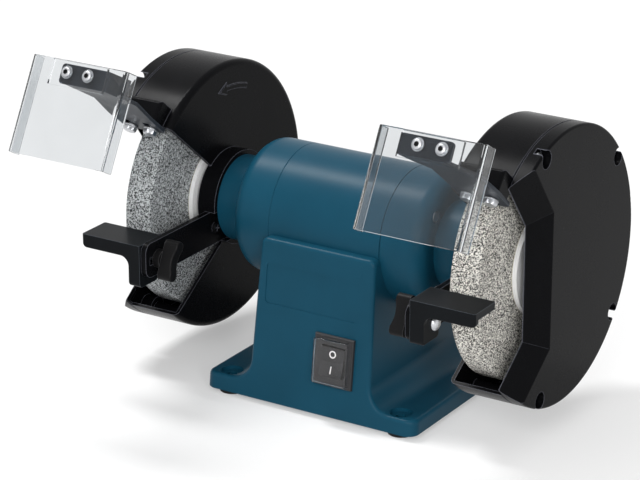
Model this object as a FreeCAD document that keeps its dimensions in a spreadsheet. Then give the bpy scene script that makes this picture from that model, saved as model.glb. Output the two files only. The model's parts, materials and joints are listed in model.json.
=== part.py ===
import FreeCAD, Part
import math
import os

import Sketcher
from FreeCAD import Placement, Rotation, Vector

# Double-ended bench grinder, in millimetres.
# +Z up, +X along the shaft to the right, -Y towards the operator.
# The origin lies on the bench, in the middle of the four base bolts, under the shaft.

DRIVING_SIZES = [
    # Base, pedestal and barrel
    ("axis_height", 145.0),
    ("foot_height", 4.0),
    ("foot_radius", 11.0),
    ("base_width", 203.0),
    ("base_depth", 166.0),
    ("base_thickness", 13.5),
    ("base_corner", 10.0),
    ("base_flare", 20.0),
    ("bolt_spacing_x", 165.0),
    ("bolt_spacing_y", 138.0),
    ("bolt_hole_radius", 4.25),
    ("spot_face_radius", 9.5),
    ("spot_face_depth", 3.0),
    ("pedestal_overhang", 1.5),
    ("pedestal_flare", 4.0),
    ("pedestal_top_depth", 132.0),
    ("pedestal_top_below_axis", 3.0),
    ("pedestal_top_corner", 6.0),
    ("pedestal_edge", 3.5),
    ("barrel_radius", 57.7),
    ("barrel_length", 106.0),
    ("barrel_bore_radius", 51.0),
    ("cavity_width", 92.0),
    ("cavity_depth", 124.0),
    ("cavity_roof", 12.0),
    ("cavity_corner", 8.0),
    ("wire_hole_radius", 9.0),
    ("panel_width", 89.0),
    ("panel_height", 34.0),
    ("panel_depth", 0.6),
    ("panel_corner", 3.0),
    ("panel_centre_x", -2.8),
    ("panel_centre_z", 104.8),
    # Closing plate under the pedestal
    ("closing_plate_width", 112.0),
    ("closing_plate_depth", 144.0),
    ("closing_plate_thickness", 2.0),
    ("closing_screw_inset", 6.0),
    # End shields
    ("shield_end", 92.0),
    ("shield_shoulder", 13.0),
    ("shield_wall", 9.7),
    ("shield_end_wall", 8.0),
    ("register_length", 4.0),
    ("boss_radius", 36.9),
    ("boss_end", 118.0),
    ("boss_opening_radius", 12.5),
    ("seat_end", 112.8),
    ("seat_length", 15.0),
    ("tie_pitch_radius", 45.0),
    ("tie_radius", 2.5),
    ("tie_head_radius", 4.2),
    ("tie_head_height", 3.6),
    ("tie_recess_radius", 5.0),
    ("tie_recess_depth", 4.0),
    ("seam_chamfer", 0.8),
    # Motor
    ("stack_length", 60.0),
    ("stator_bore_radius", 28.0),
    ("air_gap", 0.3),
    ("winding_outer_radius", 41.5),
    ("winding_inner_radius", 30.0),
    ("winding_length", 15.0),
    ("end_ring_length", 6.0),
    ("end_ring_inset", 1.5),
    # Bearings
    ("bearing_radius", 20.0),
    ("bearing_bore_radius", 8.5),
    ("bearing_width", 12.0),
    ("ball_radius", 2.9),
    ("ball_pitch_radius", 14.25),
    ("race_half_gap", 2.0),
    ("ball_count", 8),
    ("wave_washer_thickness", 0.8),
    # Shaft, wheels and flanges
    ("shaft_core_radius", 12.0),
    ("thread_radius", 8.0),
    ("shaft_end", 189.0),
    ("flange_inner_face", 136.5),
    ("flange_thickness", 5.5),
    ("flange_radius", 44.5),
    ("flange_relief_radius", 30.0),
    ("flange_relief", 1.5),
    ("spigot_length", 11.0),
    ("blotter_thickness", 0.5),
    ("wheel_radius", 100.0),
    ("wheel_width", 25.0),
    ("wheel_bore_radius", 16.0),
    ("wheel_chamfer", 1.0),
    ("nut_across_corners", 27.7),
    ("nut_height", 13.0),
    # Wheel guards
    ("guard_radius", 116.4),
    ("guard_wall", 3.0),
    ("guard_inner_face", 132.0),
    ("guard_edge", 5.0),
    ("guard_seam_x", 180.0),
    ("hub_radius", 41.0),
    ("hub_bore_radius", 14.0),
    ("mouth_top_out", 2.4),
    ("mouth_top_angle", 44.3),
    ("mouth_angle", 40.0),
    ("mouth_reach", 78.0),
    ("mouth_low_y", 8.4),
    ("mouth_low_z", 40.0),
    ("mouth_low_angle", 33.2),
    ("guard_bolt_pitch_radius", 28.5),
    ("guard_bolt_radius", 3.0),
    ("guard_bolt_head_radius", 5.0),
    ("guard_bolt_head_height", 5.0),
    ("guard_bolt_depth", 12.0),
    ("cover_end", 193.6),
    ("cover_wall", 2.5),
    ("cover_edge", 2.0),
    ("cover_chord", 47.6),
    ("cover_chord_top", 47.0),
    ("cover_chord_bottom", 51.0),
    ("cover_top_slope", 36.9),
    ("cover_bottom_slope", 53.5),
    ("cover_setback", 22.0),
    ("cover_screw_inset", 6.9),
    ("cover_screw_back_angle", 38.5),
    ("cover_screw_front_angle", 111.5),
    ("cover_screw_radius", 2.5),
    ("cover_screw_head_radius", 4.6),
    ("cover_screw_head_height", 3.2),
    ("cover_screw_length", 18.0),
    ("cover_notch_radius", 7.5),
    ("cover_notch_depth", 9.0),
    ("screw_boss_radius", 5.5),
    # Lug that carries the eye shield
    ("lug_width", 40.0),
    ("lug_end_x", 180.0),
    ("lug_out", 12.0),
    ("lug_in", 8.0),
    ("lug_depth", 18.0),
    ("lug_edge", 3.0),
    # Eye shields
    ("shield_centre_x", 160.0),
    ("lens_width", 93.5),
    ("lens_height", 81.3),
    ("lens_thickness", 2.5),
    ("lens_flange", 15.0),
    ("lens_tilt", 28.2),
    ("lens_forward", 75.5),
    ("lens_rise", 68.3),
    ("lens_pad_width", 53.5),
    ("lens_pad_height", 21.5),
    ("lens_pad_rise", 3.0),
    ("lens_pad_corner", 2.0),
    ("lens_edge", 0.7),
    ("bracket_thickness", 3.0),
    ("bracket_width", 42.0),
    ("bracket_tail", 15.5),
    ("bracket_corner", 4.0),
    ("bracket_spread", 3.0),
    ("bracket_waist", 3.5),
    ("bracket_neck_outer", 12.0),
    ("bracket_strip", 16.5),
    ("bracket_strip_drop", 2.5),
    ("bracket_strip_inner", 27.8),
    ("bracket_strip_outer", 17.8),
    ("bracket_strip_corner", 3.0),
    ("bracket_flap_depth", 29.0),
    ("bracket_slot_travel_out", 8.0),
    ("bracket_slot_travel_in", 1.0),
    ("left_shield_out", 7.0),
    ("lens_screw_spacing", 20.5),
    ("lens_screw_drop", 9.7),
    ("lens_screw_sink", 2.0),
    ("lens_screw_radius", 2.5),
    ("lens_screw_head_radius", 4.2),
    ("lens_screw_head_height", 2.6),
    ("lens_washer_radius", 5.4),
    ("lens_washer_thickness", 0.9),
    ("clamp_bolt_spacing", 20.0),
    ("clamp_bolt_inset", 2.5),
    ("clamp_bolt_radius", 3.0),
    ("clamp_bolt_head_corner", 5.8),
    ("clamp_bolt_head_height", 4.0),
    ("clamp_washer_radius", 6.2),
    ("clamp_washer_thickness", 1.2),
    ("clamp_bolt_depth", 12.0),
    # Tool rests
    ("rest_inner_x", 128.2),
    ("rest_outer_x", 186.0),
    ("rest_gap", 4.0),
    ("rest_depth", 32.0),
    ("rest_thickness", 6.0),
    ("rest_skirt_height", 12.0),
    ("rest_skirt_thickness", 5.0),
    ("rest_left_top", -4.0),
    ("rest_right_top", 4.0),
    ("rest_corner", 4.0),
    ("rest_web", 8.0),
    ("rest_edge", 1.5),
    ("leg_width", 11.8),
    ("leg_depth", 26.0),
    ("leg_height", 37.0),
    ("leg_slot_up", 26.0),
    ("leg_slot_down", 12.0),
    ("rest_bolt_y", 117.0),
    ("rest_bolt_below_axis", 19.0),
    ("rest_bolt_radius", 3.0),
    ("rest_bolt_head_radius", 6.5),
    ("rest_bolt_head_height", 3.6),
    ("rest_travel", 8.0),
    ("arm_inner_x", 123.0),
    ("arm_thickness", 5.0),
    ("arm_front_y", 134.0),
    ("arm_root_y", 16.0),
    ("arm_height", 30.0),
    ("arm_top_below_axis", 3.0),
    ("arm_slot_back_y", 103.0),
    ("arm_corner", 8.0),
    ("arm_screw_radius", 2.5),
    ("arm_screw_head_radius", 4.4),
    ("arm_screw_head_height", 3.0),
    ("arm_screw_first_y", 23.0),
    ("arm_screw_spacing", 11.0),
    ("arm_screw_depth", 5.5),
    ("knob_length", 34.0),
    ("knob_thickness", 10.0),
    ("knob_depth", 13.0),
    ("knob_hub_radius", 8.0),
    ("knob_hub_depth", 6.0),
    ("knob_waist", 2.2),
    ("knob_rest_angle", 25.0),
    ("knob_edge", 1.5),
    # Switch and cord gland
    ("switch_centre_x", 23.5),
    ("switch_centre_z", 52.5),
    ("switch_width", 37.0),
    ("switch_height", 43.0),
    ("switch_bezel", 3.0),
    ("switch_body_width", 29.0),
    ("switch_body_height", 34.0),
    ("switch_body_depth", 20.0),
    ("switch_well_width", 22.0),
    ("switch_well_height", 27.0),
    ("switch_well_depth", 9.0),
    ("rocker_pin_out", 1.0),
    ("rocker_pin_radius", 1.2),
    ("rocker_pin_length", 1.2),
    ("rocker_half_angle", 8.0),
    ("rocker_rise", 3.2),
    ("dust_cover_rise", 6.5),
    ("dust_cover_wall", 1.2),
    ("dust_cover_width", 33.0),
    ("dust_cover_height", 39.0),
    ("gland_height", 42.0),
    ("gland_flange_radius", 11.0),
    ("gland_flange_thickness", 5.0),
    ("gland_neck_radius", 8.0),
    ("gland_bore_radius", 4.2),
    # Run capacitor and terminal block in the pedestal
    ("capacitor_radius", 17.0),
    ("capacitor_length", 62.0),
    ("capacitor_y", 30.0),
    ("clip_thickness", 1.2),
    ("clip_width", 16.0),
    ("terminal_width", 46.0),
    ("terminal_depth", 20.0),
    ("terminal_height", 18.0),
    ("terminal_y", -22.0),
    # Fits
    ("press_clearance", 0.05),
    ("running_clearance", 0.05),
    ("slide_clearance", 0.3),
    ("flat_clearance", 0.2),
]


class Size:
    """A length or angle that remembers the sheet expression it comes from."""

    def __init__(self, value, text=None):
        self.value = float(value)
        self.text = text if text is not None else repr(float(value))

    @staticmethod
    def of(other):
        return other if isinstance(other, Size) else Size(other)

    def joined(self, other, sign, value):
        return Size(value, "(%s %s %s)" % (self.text, sign, other.text))

    def __add__(self, other):
        other = Size.of(other)
        return self.joined(other, "+", self.value + other.value)

    def __radd__(self, other):
        return Size.of(other) + self

    def __sub__(self, other):
        other = Size.of(other)
        return self.joined(other, "-", self.value - other.value)

    def __rsub__(self, other):
        return Size.of(other) - self

    def __mul__(self, other):
        other = Size.of(other)
        return self.joined(other, "*", self.value * other.value)

    def __rmul__(self, other):
        return Size.of(other) * self

    def __truediv__(self, other):
        other = Size.of(other)
        return self.joined(other, "/", self.value / other.value)

    def __neg__(self):
        return self * -1

    def __float__(self):
        return self.value


def cosine(angle):
    return Size(math.cos(math.radians(angle.value)), "cos(%s)" % angle.text)


def sine(angle):
    return Size(math.sin(math.radians(angle.value)), "sin(%s)" % angle.text)


def tangent(angle):
    return Size(math.tan(math.radians(angle.value)), "tan(%s)" % angle.text)


def arctangent(ratio):
    return Size(math.degrees(math.atan(ratio.value)), "atan(%s)" % ratio.text)


doc = FreeCAD.newDocument("bench_grinder")
sheet = doc.addObject("Spreadsheet::Sheet", "sizes")
for row, (alias, number) in enumerate(DRIVING_SIZES, start=1):
    sheet.set("A%d" % row, alias)
    sheet.set("B%d" % row, str(number))
    sheet.setAlias("B%d" % row, alias)
doc.recompute()


class Sizes:
    """The driving sizes as attributes."""

    def __init__(self):
        for alias, number in DRIVING_SIZES:
            setattr(self, alias, Size(number, "sizes.%s" % alias))


d = Sizes()
pieces = {}

# Derived places that several pieces share
half_base_depth = d.base_depth / 2
pedestal_top = d.axis_height - d.pedestal_top_below_axis
face_run = half_base_depth - d.pedestal_top_depth / 2
face_angle = arctangent(face_run / (pedestal_top - d.foot_height))
base_top = d.foot_height + d.base_thickness
seam_x = d.barrel_length / 2
cavity_top = d.axis_height - d.barrel_bore_radius - d.cavity_roof
half_pedestal_top = seam_x + d.pedestal_overhang
half_pedestal_low = half_pedestal_top + d.pedestal_flare
right_bearing_outer_face = d.seat_end
left_bearing_outer_face = d.seat_end - d.wave_washer_thickness
wheel_inner_face = d.flange_inner_face + d.flange_thickness + d.blotter_thickness
wheel_outer_face = wheel_inner_face + d.wheel_width
outer_flange_face = wheel_outer_face + d.blotter_thickness
nut_face = outer_flange_face + d.flange_thickness
rest_back_y = -d.wheel_radius - d.rest_gap
rest_front_y = rest_back_y - d.rest_depth
mouth_turn = 180 - d.mouth_angle
mouth_top_y = (d.guard_radius + d.mouth_top_out) * cosine(d.mouth_top_angle)
mouth_top_z = (d.guard_radius + d.mouth_top_out) * sine(d.mouth_top_angle)
cover_screw_pitch_radius = d.guard_radius - d.cover_screw_inset
lens_top_y = mouth_top_y + d.lens_forward
lens_top_above_axis = mouth_top_z + d.lens_rise
strip_front = d.lens_thickness + d.lens_pad_rise


def face_y(height):
    """Front face of the pedestal at a height above the bench."""
    return -half_base_depth + (height - d.foot_height) * tangent(face_angle)


# Drawing helpers

def bind(thing, **sizes):
    for name, size in sizes.items():
        size = Size.of(size)
        setattr(thing, name, size.value)
        thing.setExpression(name, size.text)


def place(thing, x=0, y=0, z=0, axis=None, angle=0):
    """Put a finished object at a place, with an optional turn about one axis."""
    spin = Rotation(axis, Size.of(angle).value) if axis else Rotation()
    x, y, z = Size.of(x), Size.of(y), Size.of(z)
    thing.Placement = Placement(Vector(x.value, y.value, z.value), spin)
    for name, size in (("x", x), ("y", y), ("z", z)):
        if size.text != repr(size.value):
            thing.setExpression("Placement.Base.%s" % name, size.text)
    if axis and isinstance(angle, Size):
        thing.setExpression("Placement.Rotation.Angle", angle.text)


def new_body(name):
    return doc.addObject("PartDesign::Body", name)


def sketch_on(body, plane, x=0, y=0, lift=0, axis=None, angle=0):
    """A sketch on one of the body's origin planes, shifted, lifted and turned in that plane's frame."""
    sketch = body.newObject("Sketcher::SketchObject", body.Name + "_sketch")
    support = next(item for item in body.Origin.OriginFeatures if item.Role == plane)
    sketch.AttachmentSupport = [(support, "")]
    sketch.MapMode = "FlatFace"
    x, y, lift = Size.of(x), Size.of(y), Size.of(lift)
    spin = Rotation(axis, Size.of(angle).value) if axis else Rotation()
    sketch.AttachmentOffset = Placement(Vector(x.value, y.value, lift.value), spin)
    for name, size in (("x", x), ("y", y), ("z", lift)):
        if size.text != repr(size.value):
            sketch.setExpression("AttachmentOffset.Base.%s" % name, size.text)
    if axis and isinstance(angle, Size):
        sketch.setExpression("AttachmentOffset.Rotation.Angle", angle.text)
    return sketch


def pin_point(sketch, geometry, end, x, y):
    """Hold one point of a sketch at a place that follows the sheet."""
    for kind, size, line in (("DistanceX", Size.of(x), -2), ("DistanceY", Size.of(y), -1)):
        if abs(size.value) < 1e-9:
            sketch.addConstraint(Sketcher.Constraint("PointOnObject", geometry, end, line))
            continue
        index = sketch.addConstraint(Sketcher.Constraint(kind, -1, 1, geometry, end, size.value))
        sketch.setExpression("Constraints[%d]" % index, size.text)


def draw_outline(sketch, points):
    """A closed outline of straight lines through the points."""
    first = sketch.GeometryCount
    corners = [Vector(float(x), float(y), 0) for x, y in points]
    count = len(points)
    for index in range(count):
        sketch.addGeometry(Part.LineSegment(corners[index], corners[(index + 1) % count]))
    for index in range(count):
        following = first + (index + 1) % count
        sketch.addConstraint(Sketcher.Constraint("Coincident", first + index, 2, following, 1))
    for index, (x, y) in enumerate(points):
        pin_point(sketch, first + index, 1, x, y)
    return sketch


def draw_circle(sketch, x, y, radius):
    x, y, radius = Size.of(x), Size.of(y), Size.of(radius)
    circle = Part.Circle(Vector(x.value, y.value, 0), Vector(0, 0, 1), radius.value)
    geometry = sketch.addGeometry(circle)
    pin_point(sketch, geometry, 3, x, y)
    index = sketch.addConstraint(Sketcher.Constraint("Radius", geometry, radius.value))
    sketch.setExpression("Constraints[%d]" % index, radius.text)
    return sketch


def rectangle(x_low, x_high, y_low, y_high):
    return [(x_low, y_low), (x_high, y_low), (x_high, y_high), (x_low, y_high)]


def centred(width, height):
    return rectangle(-width / 2, width / 2, -height / 2, height / 2)


def feature(body, kind, sketch, **sizes):
    made = body.newObject("PartDesign::" + kind, body.Name + "_" + kind.lower())
    made.Profile = sketch
    bind(made, **sizes)
    return made


def pad(body, sketch, length, reverse=False):
    made = feature(body, "Pad", sketch, Length=length)
    made.Reversed = reverse
    doc.recompute()
    return made


def pocket(body, sketch, length, reverse=False):
    """Cut along the sketch's normal (reverse) or against it, and make sure that something was cut."""
    before = body.Shape.Volume
    made = feature(body, "Pocket", sketch, Length=length)
    made.Reversed = reverse
    doc.recompute()
    if body.Shape.Volume > before - 1e-3:
        raise RuntimeError("%s removed nothing" % made.Name)
    return made


def revolve(body, sketch, cut=False):
    made = feature(body, "Groove" if cut else "Revolution", sketch)
    made.ReferenceAxis = (sketch, ["H_Axis"])
    made.Angle = 360
    doc.recompute()
    return made


def edge_names(shape, test):
    return ["Edge%d" % number for number, edge in enumerate(shape.Edges, start=1) if test(edge)]


def round_edges(body, radius, test, kind="Fillet"):
    """Round or chamfer the edges of a body that pass a test."""
    names = edge_names(body.Shape, test)
    if not names:
        raise RuntimeError("%s has no such edge" % body.Name)
    made = body.newObject("PartDesign::" + kind, body.Name + "_" + kind.lower())
    made.Base = (body.Tip if body.Tip != made else made.BaseFeature, names)
    bind(made, **{"Radius" if kind == "Fillet" else "Size": radius})
    doc.recompute()
    return made


def runs_along(edge, axis):
    """Whether a straight edge runs along an axis, within a few degrees."""
    if edge.Curve.TypeId != "Part::GeomLine":
        return False
    direction = edge.Curve.Direction
    return abs(direction.dot(axis)) > 0.98


def near(value, size, room=0.2):
    return abs(value - float(size)) < room


AXIS_X, AXIS_Y, AXIS_Z = Vector(1, 0, 0), Vector(0, 1, 0), Vector(0, 0, 1)


def keep(thing, label):
    """Name a finished sub-part; its label names its file."""
    thing.Label = label
    pieces[label] = thing
    return thing


def mirrored(source, label):
    """The left-hand twin of a right-hand piece."""
    twin = doc.addObject("Part::Mirroring", label)
    twin.Source = source
    twin.Base = Vector(0, 0, 0)
    twin.Normal = AXIS_X
    return keep(twin, label)


def turned(name, profile):
    """A piece turned about the shaft axis, from points (along the shaft, radius)."""
    body = new_body(name)
    revolve(body, draw_outline(sketch_on(body, "XY_Plane"), profile))
    place(body, z=d.axis_height)
    return body


def ring_profile(low, high, inner, outer):
    return rectangle(low, high, inner, outer)


def cylinder(radius, height, at=(0, 0, 0), along=AXIS_Z):
    made = doc.addObject("Part::Cylinder", "cylinder")
    bind(made, Radius=radius, Height=height)
    start = Vector(*(float(value) for value in at))
    made.Placement = Placement(start, Rotation(AXIS_Z, along))
    return made


def hexagon(circumradius, height, at, along):
    made = doc.addObject("Part::Prism", "hexagon")
    made.Polygon = 6
    bind(made, Circumradius=circumradius, Height=height)
    made.Placement = Placement(Vector(*(float(value) for value in at)), Rotation(AXIS_Z, along))
    return made


def fused(*parts):
    made = doc.addObject("Part::MultiFuse", "fused")
    made.Shapes = list(parts)
    return made


def cut(base, tool):
    made = doc.addObject("Part::Cut", "cut")
    made.Base = base
    made.Tool = tool
    return made


def group(label, members):
    """Identical fasteners, kept as separate solids under one name."""
    made = doc.addObject("Part::Compound", label)
    made.Links = list(members)
    return keep(made, label)


def along_point(start, direction, distance):
    return tuple(float(a) + b * float(distance) for a, b in zip(start, direction))


def headed_screw(seat, into, head_radius, head_height, shank_radius, shank_length):
    """A round-headed screw whose head sits on a seat and whose shank goes into the piece."""
    out = Vector(-into.x, -into.y, -into.z)
    head = cylinder(head_radius, head_height, seat, out)
    shank = cylinder(shank_radius, shank_length, seat, into)
    return fused(head, shank)


# Centre casting: base plate, pedestal and the middle of the barrel

def make_motor_housing():
    body = new_body("motor_housing")
    half_base, half_low, half_top = d.base_width / 2, half_pedestal_low, half_pedestal_top
    front_view = [
        (-half_base, d.foot_height), (half_base, d.foot_height), (half_base, base_top),
        (half_low, base_top), (half_top, pedestal_top), (-half_top, pedestal_top),
        (-half_low, base_top), (-half_base, base_top),
    ]
    sketch = draw_outline(sketch_on(body, "XZ_Plane", lift=-half_base_depth), front_view)
    pad(body, sketch, d.base_depth)
    round_edges(body, d.base_flare, lambda edge: runs_along(edge, AXIS_Y)
                and near(edge.CenterOfMass.z, base_top) and near(abs(edge.CenterOfMass.x), half_low))
    round_edges(body, d.pedestal_top_corner, lambda edge: runs_along(edge, AXIS_Y)
                and near(edge.CenterOfMass.z, pedestal_top))
    for side in (-1, 1):
        wedge = [
            (side * half_base_depth, d.foot_height),
            (side * d.pedestal_top_depth / 2, pedestal_top),
            (side * half_base_depth, pedestal_top),
        ]
        pocket(body, draw_outline(sketch_on(body, "YZ_Plane", lift=-half_base), wedge), d.base_width, True)
    corner_test = lambda edge: runs_along(edge, AXIS_Z) and near(abs(edge.CenterOfMass.x), half_base)
    round_edges(body, d.base_corner, corner_test)

    def on_outer_rim(edge):
        """Edges where the slanted faces and the base's sides turn over to the top."""
        middle = edge.CenterOfMass
        if middle.z < float(base_top) - 0.3:
            return False
        slanted = abs(abs(middle.y) + float(face_y(Size(middle.z)))) < float(d.pedestal_edge / 2)
        beside = near(abs(middle.x), half_base, float(d.base_corner))
        return slanted or beside

    round_edges(body, d.pedestal_edge, on_outer_rim)
    barrel = draw_circle(sketch_on(body, "YZ_Plane", lift=-seam_x), 0, d.axis_height, d.barrel_radius)
    pad(body, barrel, d.barrel_length)
    saddle_radius = d.barrel_radius + d.slide_clearance
    for side in (-1, 1):
        saddle = sketch_on(body, "YZ_Plane", lift=side * seam_x)
        pocket(body, draw_circle(saddle, 0, d.axis_height, saddle_radius), half_base, side > 0)
    bore = sketch_on(body, "YZ_Plane", lift=-seam_x)
    pocket(body, draw_circle(bore, 0, d.axis_height, d.barrel_bore_radius), d.barrel_length, True)
    underside = sketch_on(body, "XY_Plane", lift=d.foot_height)
    cavity = draw_outline(underside, centred(d.cavity_width, d.cavity_depth))
    pocket(body, cavity, cavity_top - d.foot_height, True)
    round_edges(body, d.cavity_corner, lambda edge: runs_along(edge, AXIS_Z)
                and near(abs(edge.CenterOfMass.x), d.cavity_width / 2)
                and near(abs(edge.CenterOfMass.y), d.cavity_depth / 2))
    rebate_size = (d.closing_plate_width + 2 * d.flat_clearance, d.closing_plate_depth + 2 * d.flat_clearance)
    rebate = draw_outline(sketch_on(body, "XY_Plane", lift=d.foot_height), centred(*rebate_size))
    pocket(body, rebate, d.closing_plate_thickness, True)
    wires = draw_circle(sketch_on(body, "XY_Plane", lift=cavity_top), 0, 0, d.wire_hole_radius)
    pocket(body, wires, d.cavity_roof + d.wire_hole_radius, True)
    bolts = sketch_on(body, "XY_Plane", lift=d.foot_height)
    spots = sketch_on(body, "XY_Plane", lift=base_top - d.spot_face_depth)
    for x_side in (-1, 1):
        for y_side in (-1, 1):
            place_x, place_y = x_side * d.bolt_spacing_x / 2, y_side * d.bolt_spacing_y / 2
            draw_circle(bolts, place_x, place_y, d.bolt_hole_radius)
            draw_circle(spots, place_x, place_y, d.spot_face_radius)
    pocket(body, bolts, d.base_thickness, True)
    pocket(body, spots, d.base_flare + d.spot_face_depth, True)
    screws = sketch_on(body, "XY_Plane", lift=d.foot_height)
    for x, y in closing_screw_places():
        draw_circle(screws, x, y, d.arm_screw_radius)
    pocket(body, screws, d.base_thickness - d.closing_plate_thickness, True)
    window = sketch_on(body, "XZ_Plane", d.switch_centre_x, d.switch_centre_z,
                       -face_y(d.switch_centre_z), AXIS_X, -face_angle)
    opening = centred(d.switch_body_width + 2 * d.flat_clearance, d.switch_body_height + 2 * d.flat_clearance)
    pocket(body, draw_outline(window, opening), d.switch_body_depth + d.switch_bezel)
    gland = sketch_on(body, "XZ_Plane", 0, d.gland_height, face_y(d.gland_height), AXIS_X, face_angle)
    draw_circle(gland, 0, 0, d.gland_neck_radius + d.press_clearance)
    pocket(body, gland, d.switch_body_depth, True)
    panel = sketch_on(body, "XZ_Plane", d.panel_centre_x, d.panel_centre_z,
                      -face_y(d.panel_centre_z), AXIS_X, -face_angle)
    pocket(body, draw_outline(panel, centred(d.panel_width, d.panel_height)), d.panel_depth)
    round_edges(body, d.panel_corner, lambda edge: near(edge.Length, d.panel_depth, 0.05)
                and near(edge.CenterOfMass.z, d.panel_centre_z, float(d.panel_height)))
    return keep(body, "motor_housing")


def closing_screw_places():
    x = d.closing_plate_width / 2 - d.closing_screw_inset
    y = d.closing_plate_depth / 2 - d.closing_screw_inset
    return [(x_side * x, y_side * y) for x_side in (-1, 1) for y_side in (-1, 1)]


def make_closing_plate():
    body = new_body("base_closing_plate")
    sketch = sketch_on(body, "XY_Plane", lift=d.foot_height)
    draw_outline(sketch, centred(d.closing_plate_width, d.closing_plate_depth))
    pad(body, sketch, d.closing_plate_thickness)
    holes = sketch_on(body, "XY_Plane", lift=d.foot_height)
    for x, y in closing_screw_places():
        draw_circle(holes, x, y, d.arm_screw_radius + d.flat_clearance)
    pocket(body, holes, d.closing_plate_thickness, True)
    keep(body, "base_closing_plate")
    screws = []
    for x, y in closing_screw_places():
        seat = (x, y, d.foot_height)
        length = d.base_thickness - d.closing_plate_thickness - d.flat_clearance
        head = d.foot_height / 2
        screws.append(headed_screw(seat, AXIS_Z, d.arm_screw_head_radius, head,
                                   d.arm_screw_radius - d.press_clearance, length))
    group("closing_plate_screws", screws)


def make_feet():
    feet = []
    for x_side in (-1, 1):
        for y_side in (-1, 1):
            at = (x_side * d.bolt_spacing_x / 2, y_side * d.bolt_spacing_y / 2, 0)
            disc = cylinder(d.foot_radius, d.foot_height, at)
            hole = cylinder(d.bolt_hole_radius, d.foot_height, at)
            feet.append(cut(disc, hole))
    group("rubber_feet", feet)


# End shields with bearing seats, and the bolts that draw them together

def tie_bolt_angles():
    return [45 + 90 * index for index in range(4)]


def make_end_shields():
    inner_radius = d.barrel_radius - d.shield_wall
    register = d.barrel_bore_radius - d.press_clearance
    shoulder_start = d.shield_end - d.shield_shoulder
    seat_radius = d.bearing_radius + d.press_clearance
    inner_wall = d.shield_end - d.shield_end_wall
    profile = [
        (seam_x - d.register_length, inner_radius), (seam_x - d.register_length, register),
        (seam_x, register), (seam_x, d.barrel_radius - d.seam_chamfer),
        (seam_x + d.seam_chamfer, d.barrel_radius), (d.shield_end, d.barrel_radius),
        (d.shield_end, d.boss_radius), (d.boss_end, d.boss_radius), (d.boss_end, d.boss_opening_radius),
        (d.seat_end, d.boss_opening_radius), (d.seat_end, seat_radius),
        (d.seat_end - d.seat_length, seat_radius), (inner_wall, d.stator_bore_radius),
        (inner_wall, inner_radius),
    ]
    body = new_body("right_end_shield")
    revolve(body, draw_outline(sketch_on(body, "XY_Plane"), profile))
    round_edges(body, d.shield_shoulder, lambda edge: near(edge.BoundBox.XMin, d.shield_end)
                and near(edge.BoundBox.XMax, d.shield_end) and near(edge.BoundBox.YMax, d.barrel_radius))
    bores = sketch_on(body, "YZ_Plane", lift=inner_wall)
    recesses = sketch_on(body, "YZ_Plane", lift=d.shield_end - d.tie_recess_depth)
    for degrees in tie_bolt_angles():
        y = d.tie_pitch_radius * cosine(Size(degrees))
        z = d.tie_pitch_radius * sine(Size(degrees))
        draw_circle(bores, y, z, d.tie_radius + d.flat_clearance)
        draw_circle(recesses, y, z, d.tie_recess_radius)
    pocket(body, bores, d.shield_end_wall, True)
    pocket(body, recesses, d.tie_recess_depth, True)
    threads = sketch_on(body, "YZ_Plane", lift=d.boss_end - d.guard_bolt_depth)
    for y, z in guard_bolt_places():
        draw_circle(threads, y, z, d.guard_bolt_radius + d.press_clearance)
    pocket(body, threads, d.guard_bolt_depth, True)
    place(body, z=d.axis_height)
    keep(body, "right_end_shield")
    mirrored(body, "left_end_shield")
    seat_x = d.shield_end - d.tie_recess_depth
    bolts = []
    for degrees in tie_bolt_angles():
        y = float(d.tie_pitch_radius) * math.cos(math.radians(degrees))
        z = float(d.axis_height) + float(d.tie_pitch_radius) * math.sin(math.radians(degrees))
        rod = cylinder(d.tie_radius, 2 * seat_x, (-seat_x, y, z), AXIS_X)
        head = cylinder(d.tie_head_radius, d.tie_head_height, (seat_x, y, z), AXIS_X)
        nut = hexagon(d.tie_head_radius, d.tie_head_height, (-seat_x, y, z), -AXIS_X)
        bolts.append(fused(rod, head, nut))
    group("tie_bolts", bolts)


def guard_bolt_places():
    spots = []
    for degrees in (30, 150, 270):
        turn = Size(degrees)
        spots.append((d.guard_bolt_pitch_radius * cosine(turn), d.guard_bolt_pitch_radius * sine(turn)))
    return spots


# Motor: stator, windings and rotor

def make_motor():
    half = d.stack_length / 2
    stator = turned("stator_core", ring_profile(-half, half, d.stator_bore_radius,
                                                d.barrel_bore_radius - d.press_clearance))
    holes = sketch_on(stator, "YZ_Plane", lift=-half)
    for degrees in tie_bolt_angles():
        turn = Size(degrees)
        draw_circle(holes, d.tie_pitch_radius * cosine(turn), d.tie_pitch_radius * sine(turn),
                    d.tie_radius + d.flat_clearance)
    pocket(stator, holes, d.stack_length, True)
    keep(stator, "stator_core")
    right = turned("right_winding", ring_profile(half, half + d.winding_length,
                                                 d.winding_inner_radius, d.winding_outer_radius))
    round_edges(right, d.winding_length / 4, lambda edge: near(edge.BoundBox.XMin, half + d.winding_length))
    left = doc.addObject("Part::Mirroring", "left_winding")
    left.Source = right
    left.Normal = AXIS_X
    group("stator_windings", [right, left])
    rotor_radius = d.stator_bore_radius - d.air_gap
    ring_radius = rotor_radius - d.end_ring_inset
    tip = half + d.end_ring_length
    bore = d.shaft_core_radius + d.press_clearance
    rotor = turned("rotor_core", [
        (-tip, bore), (tip, bore), (tip, ring_radius), (half, ring_radius), (half, rotor_radius),
        (-half, rotor_radius), (-half, ring_radius), (-tip, ring_radius),
    ])
    keep(rotor, "rotor_core")


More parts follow.
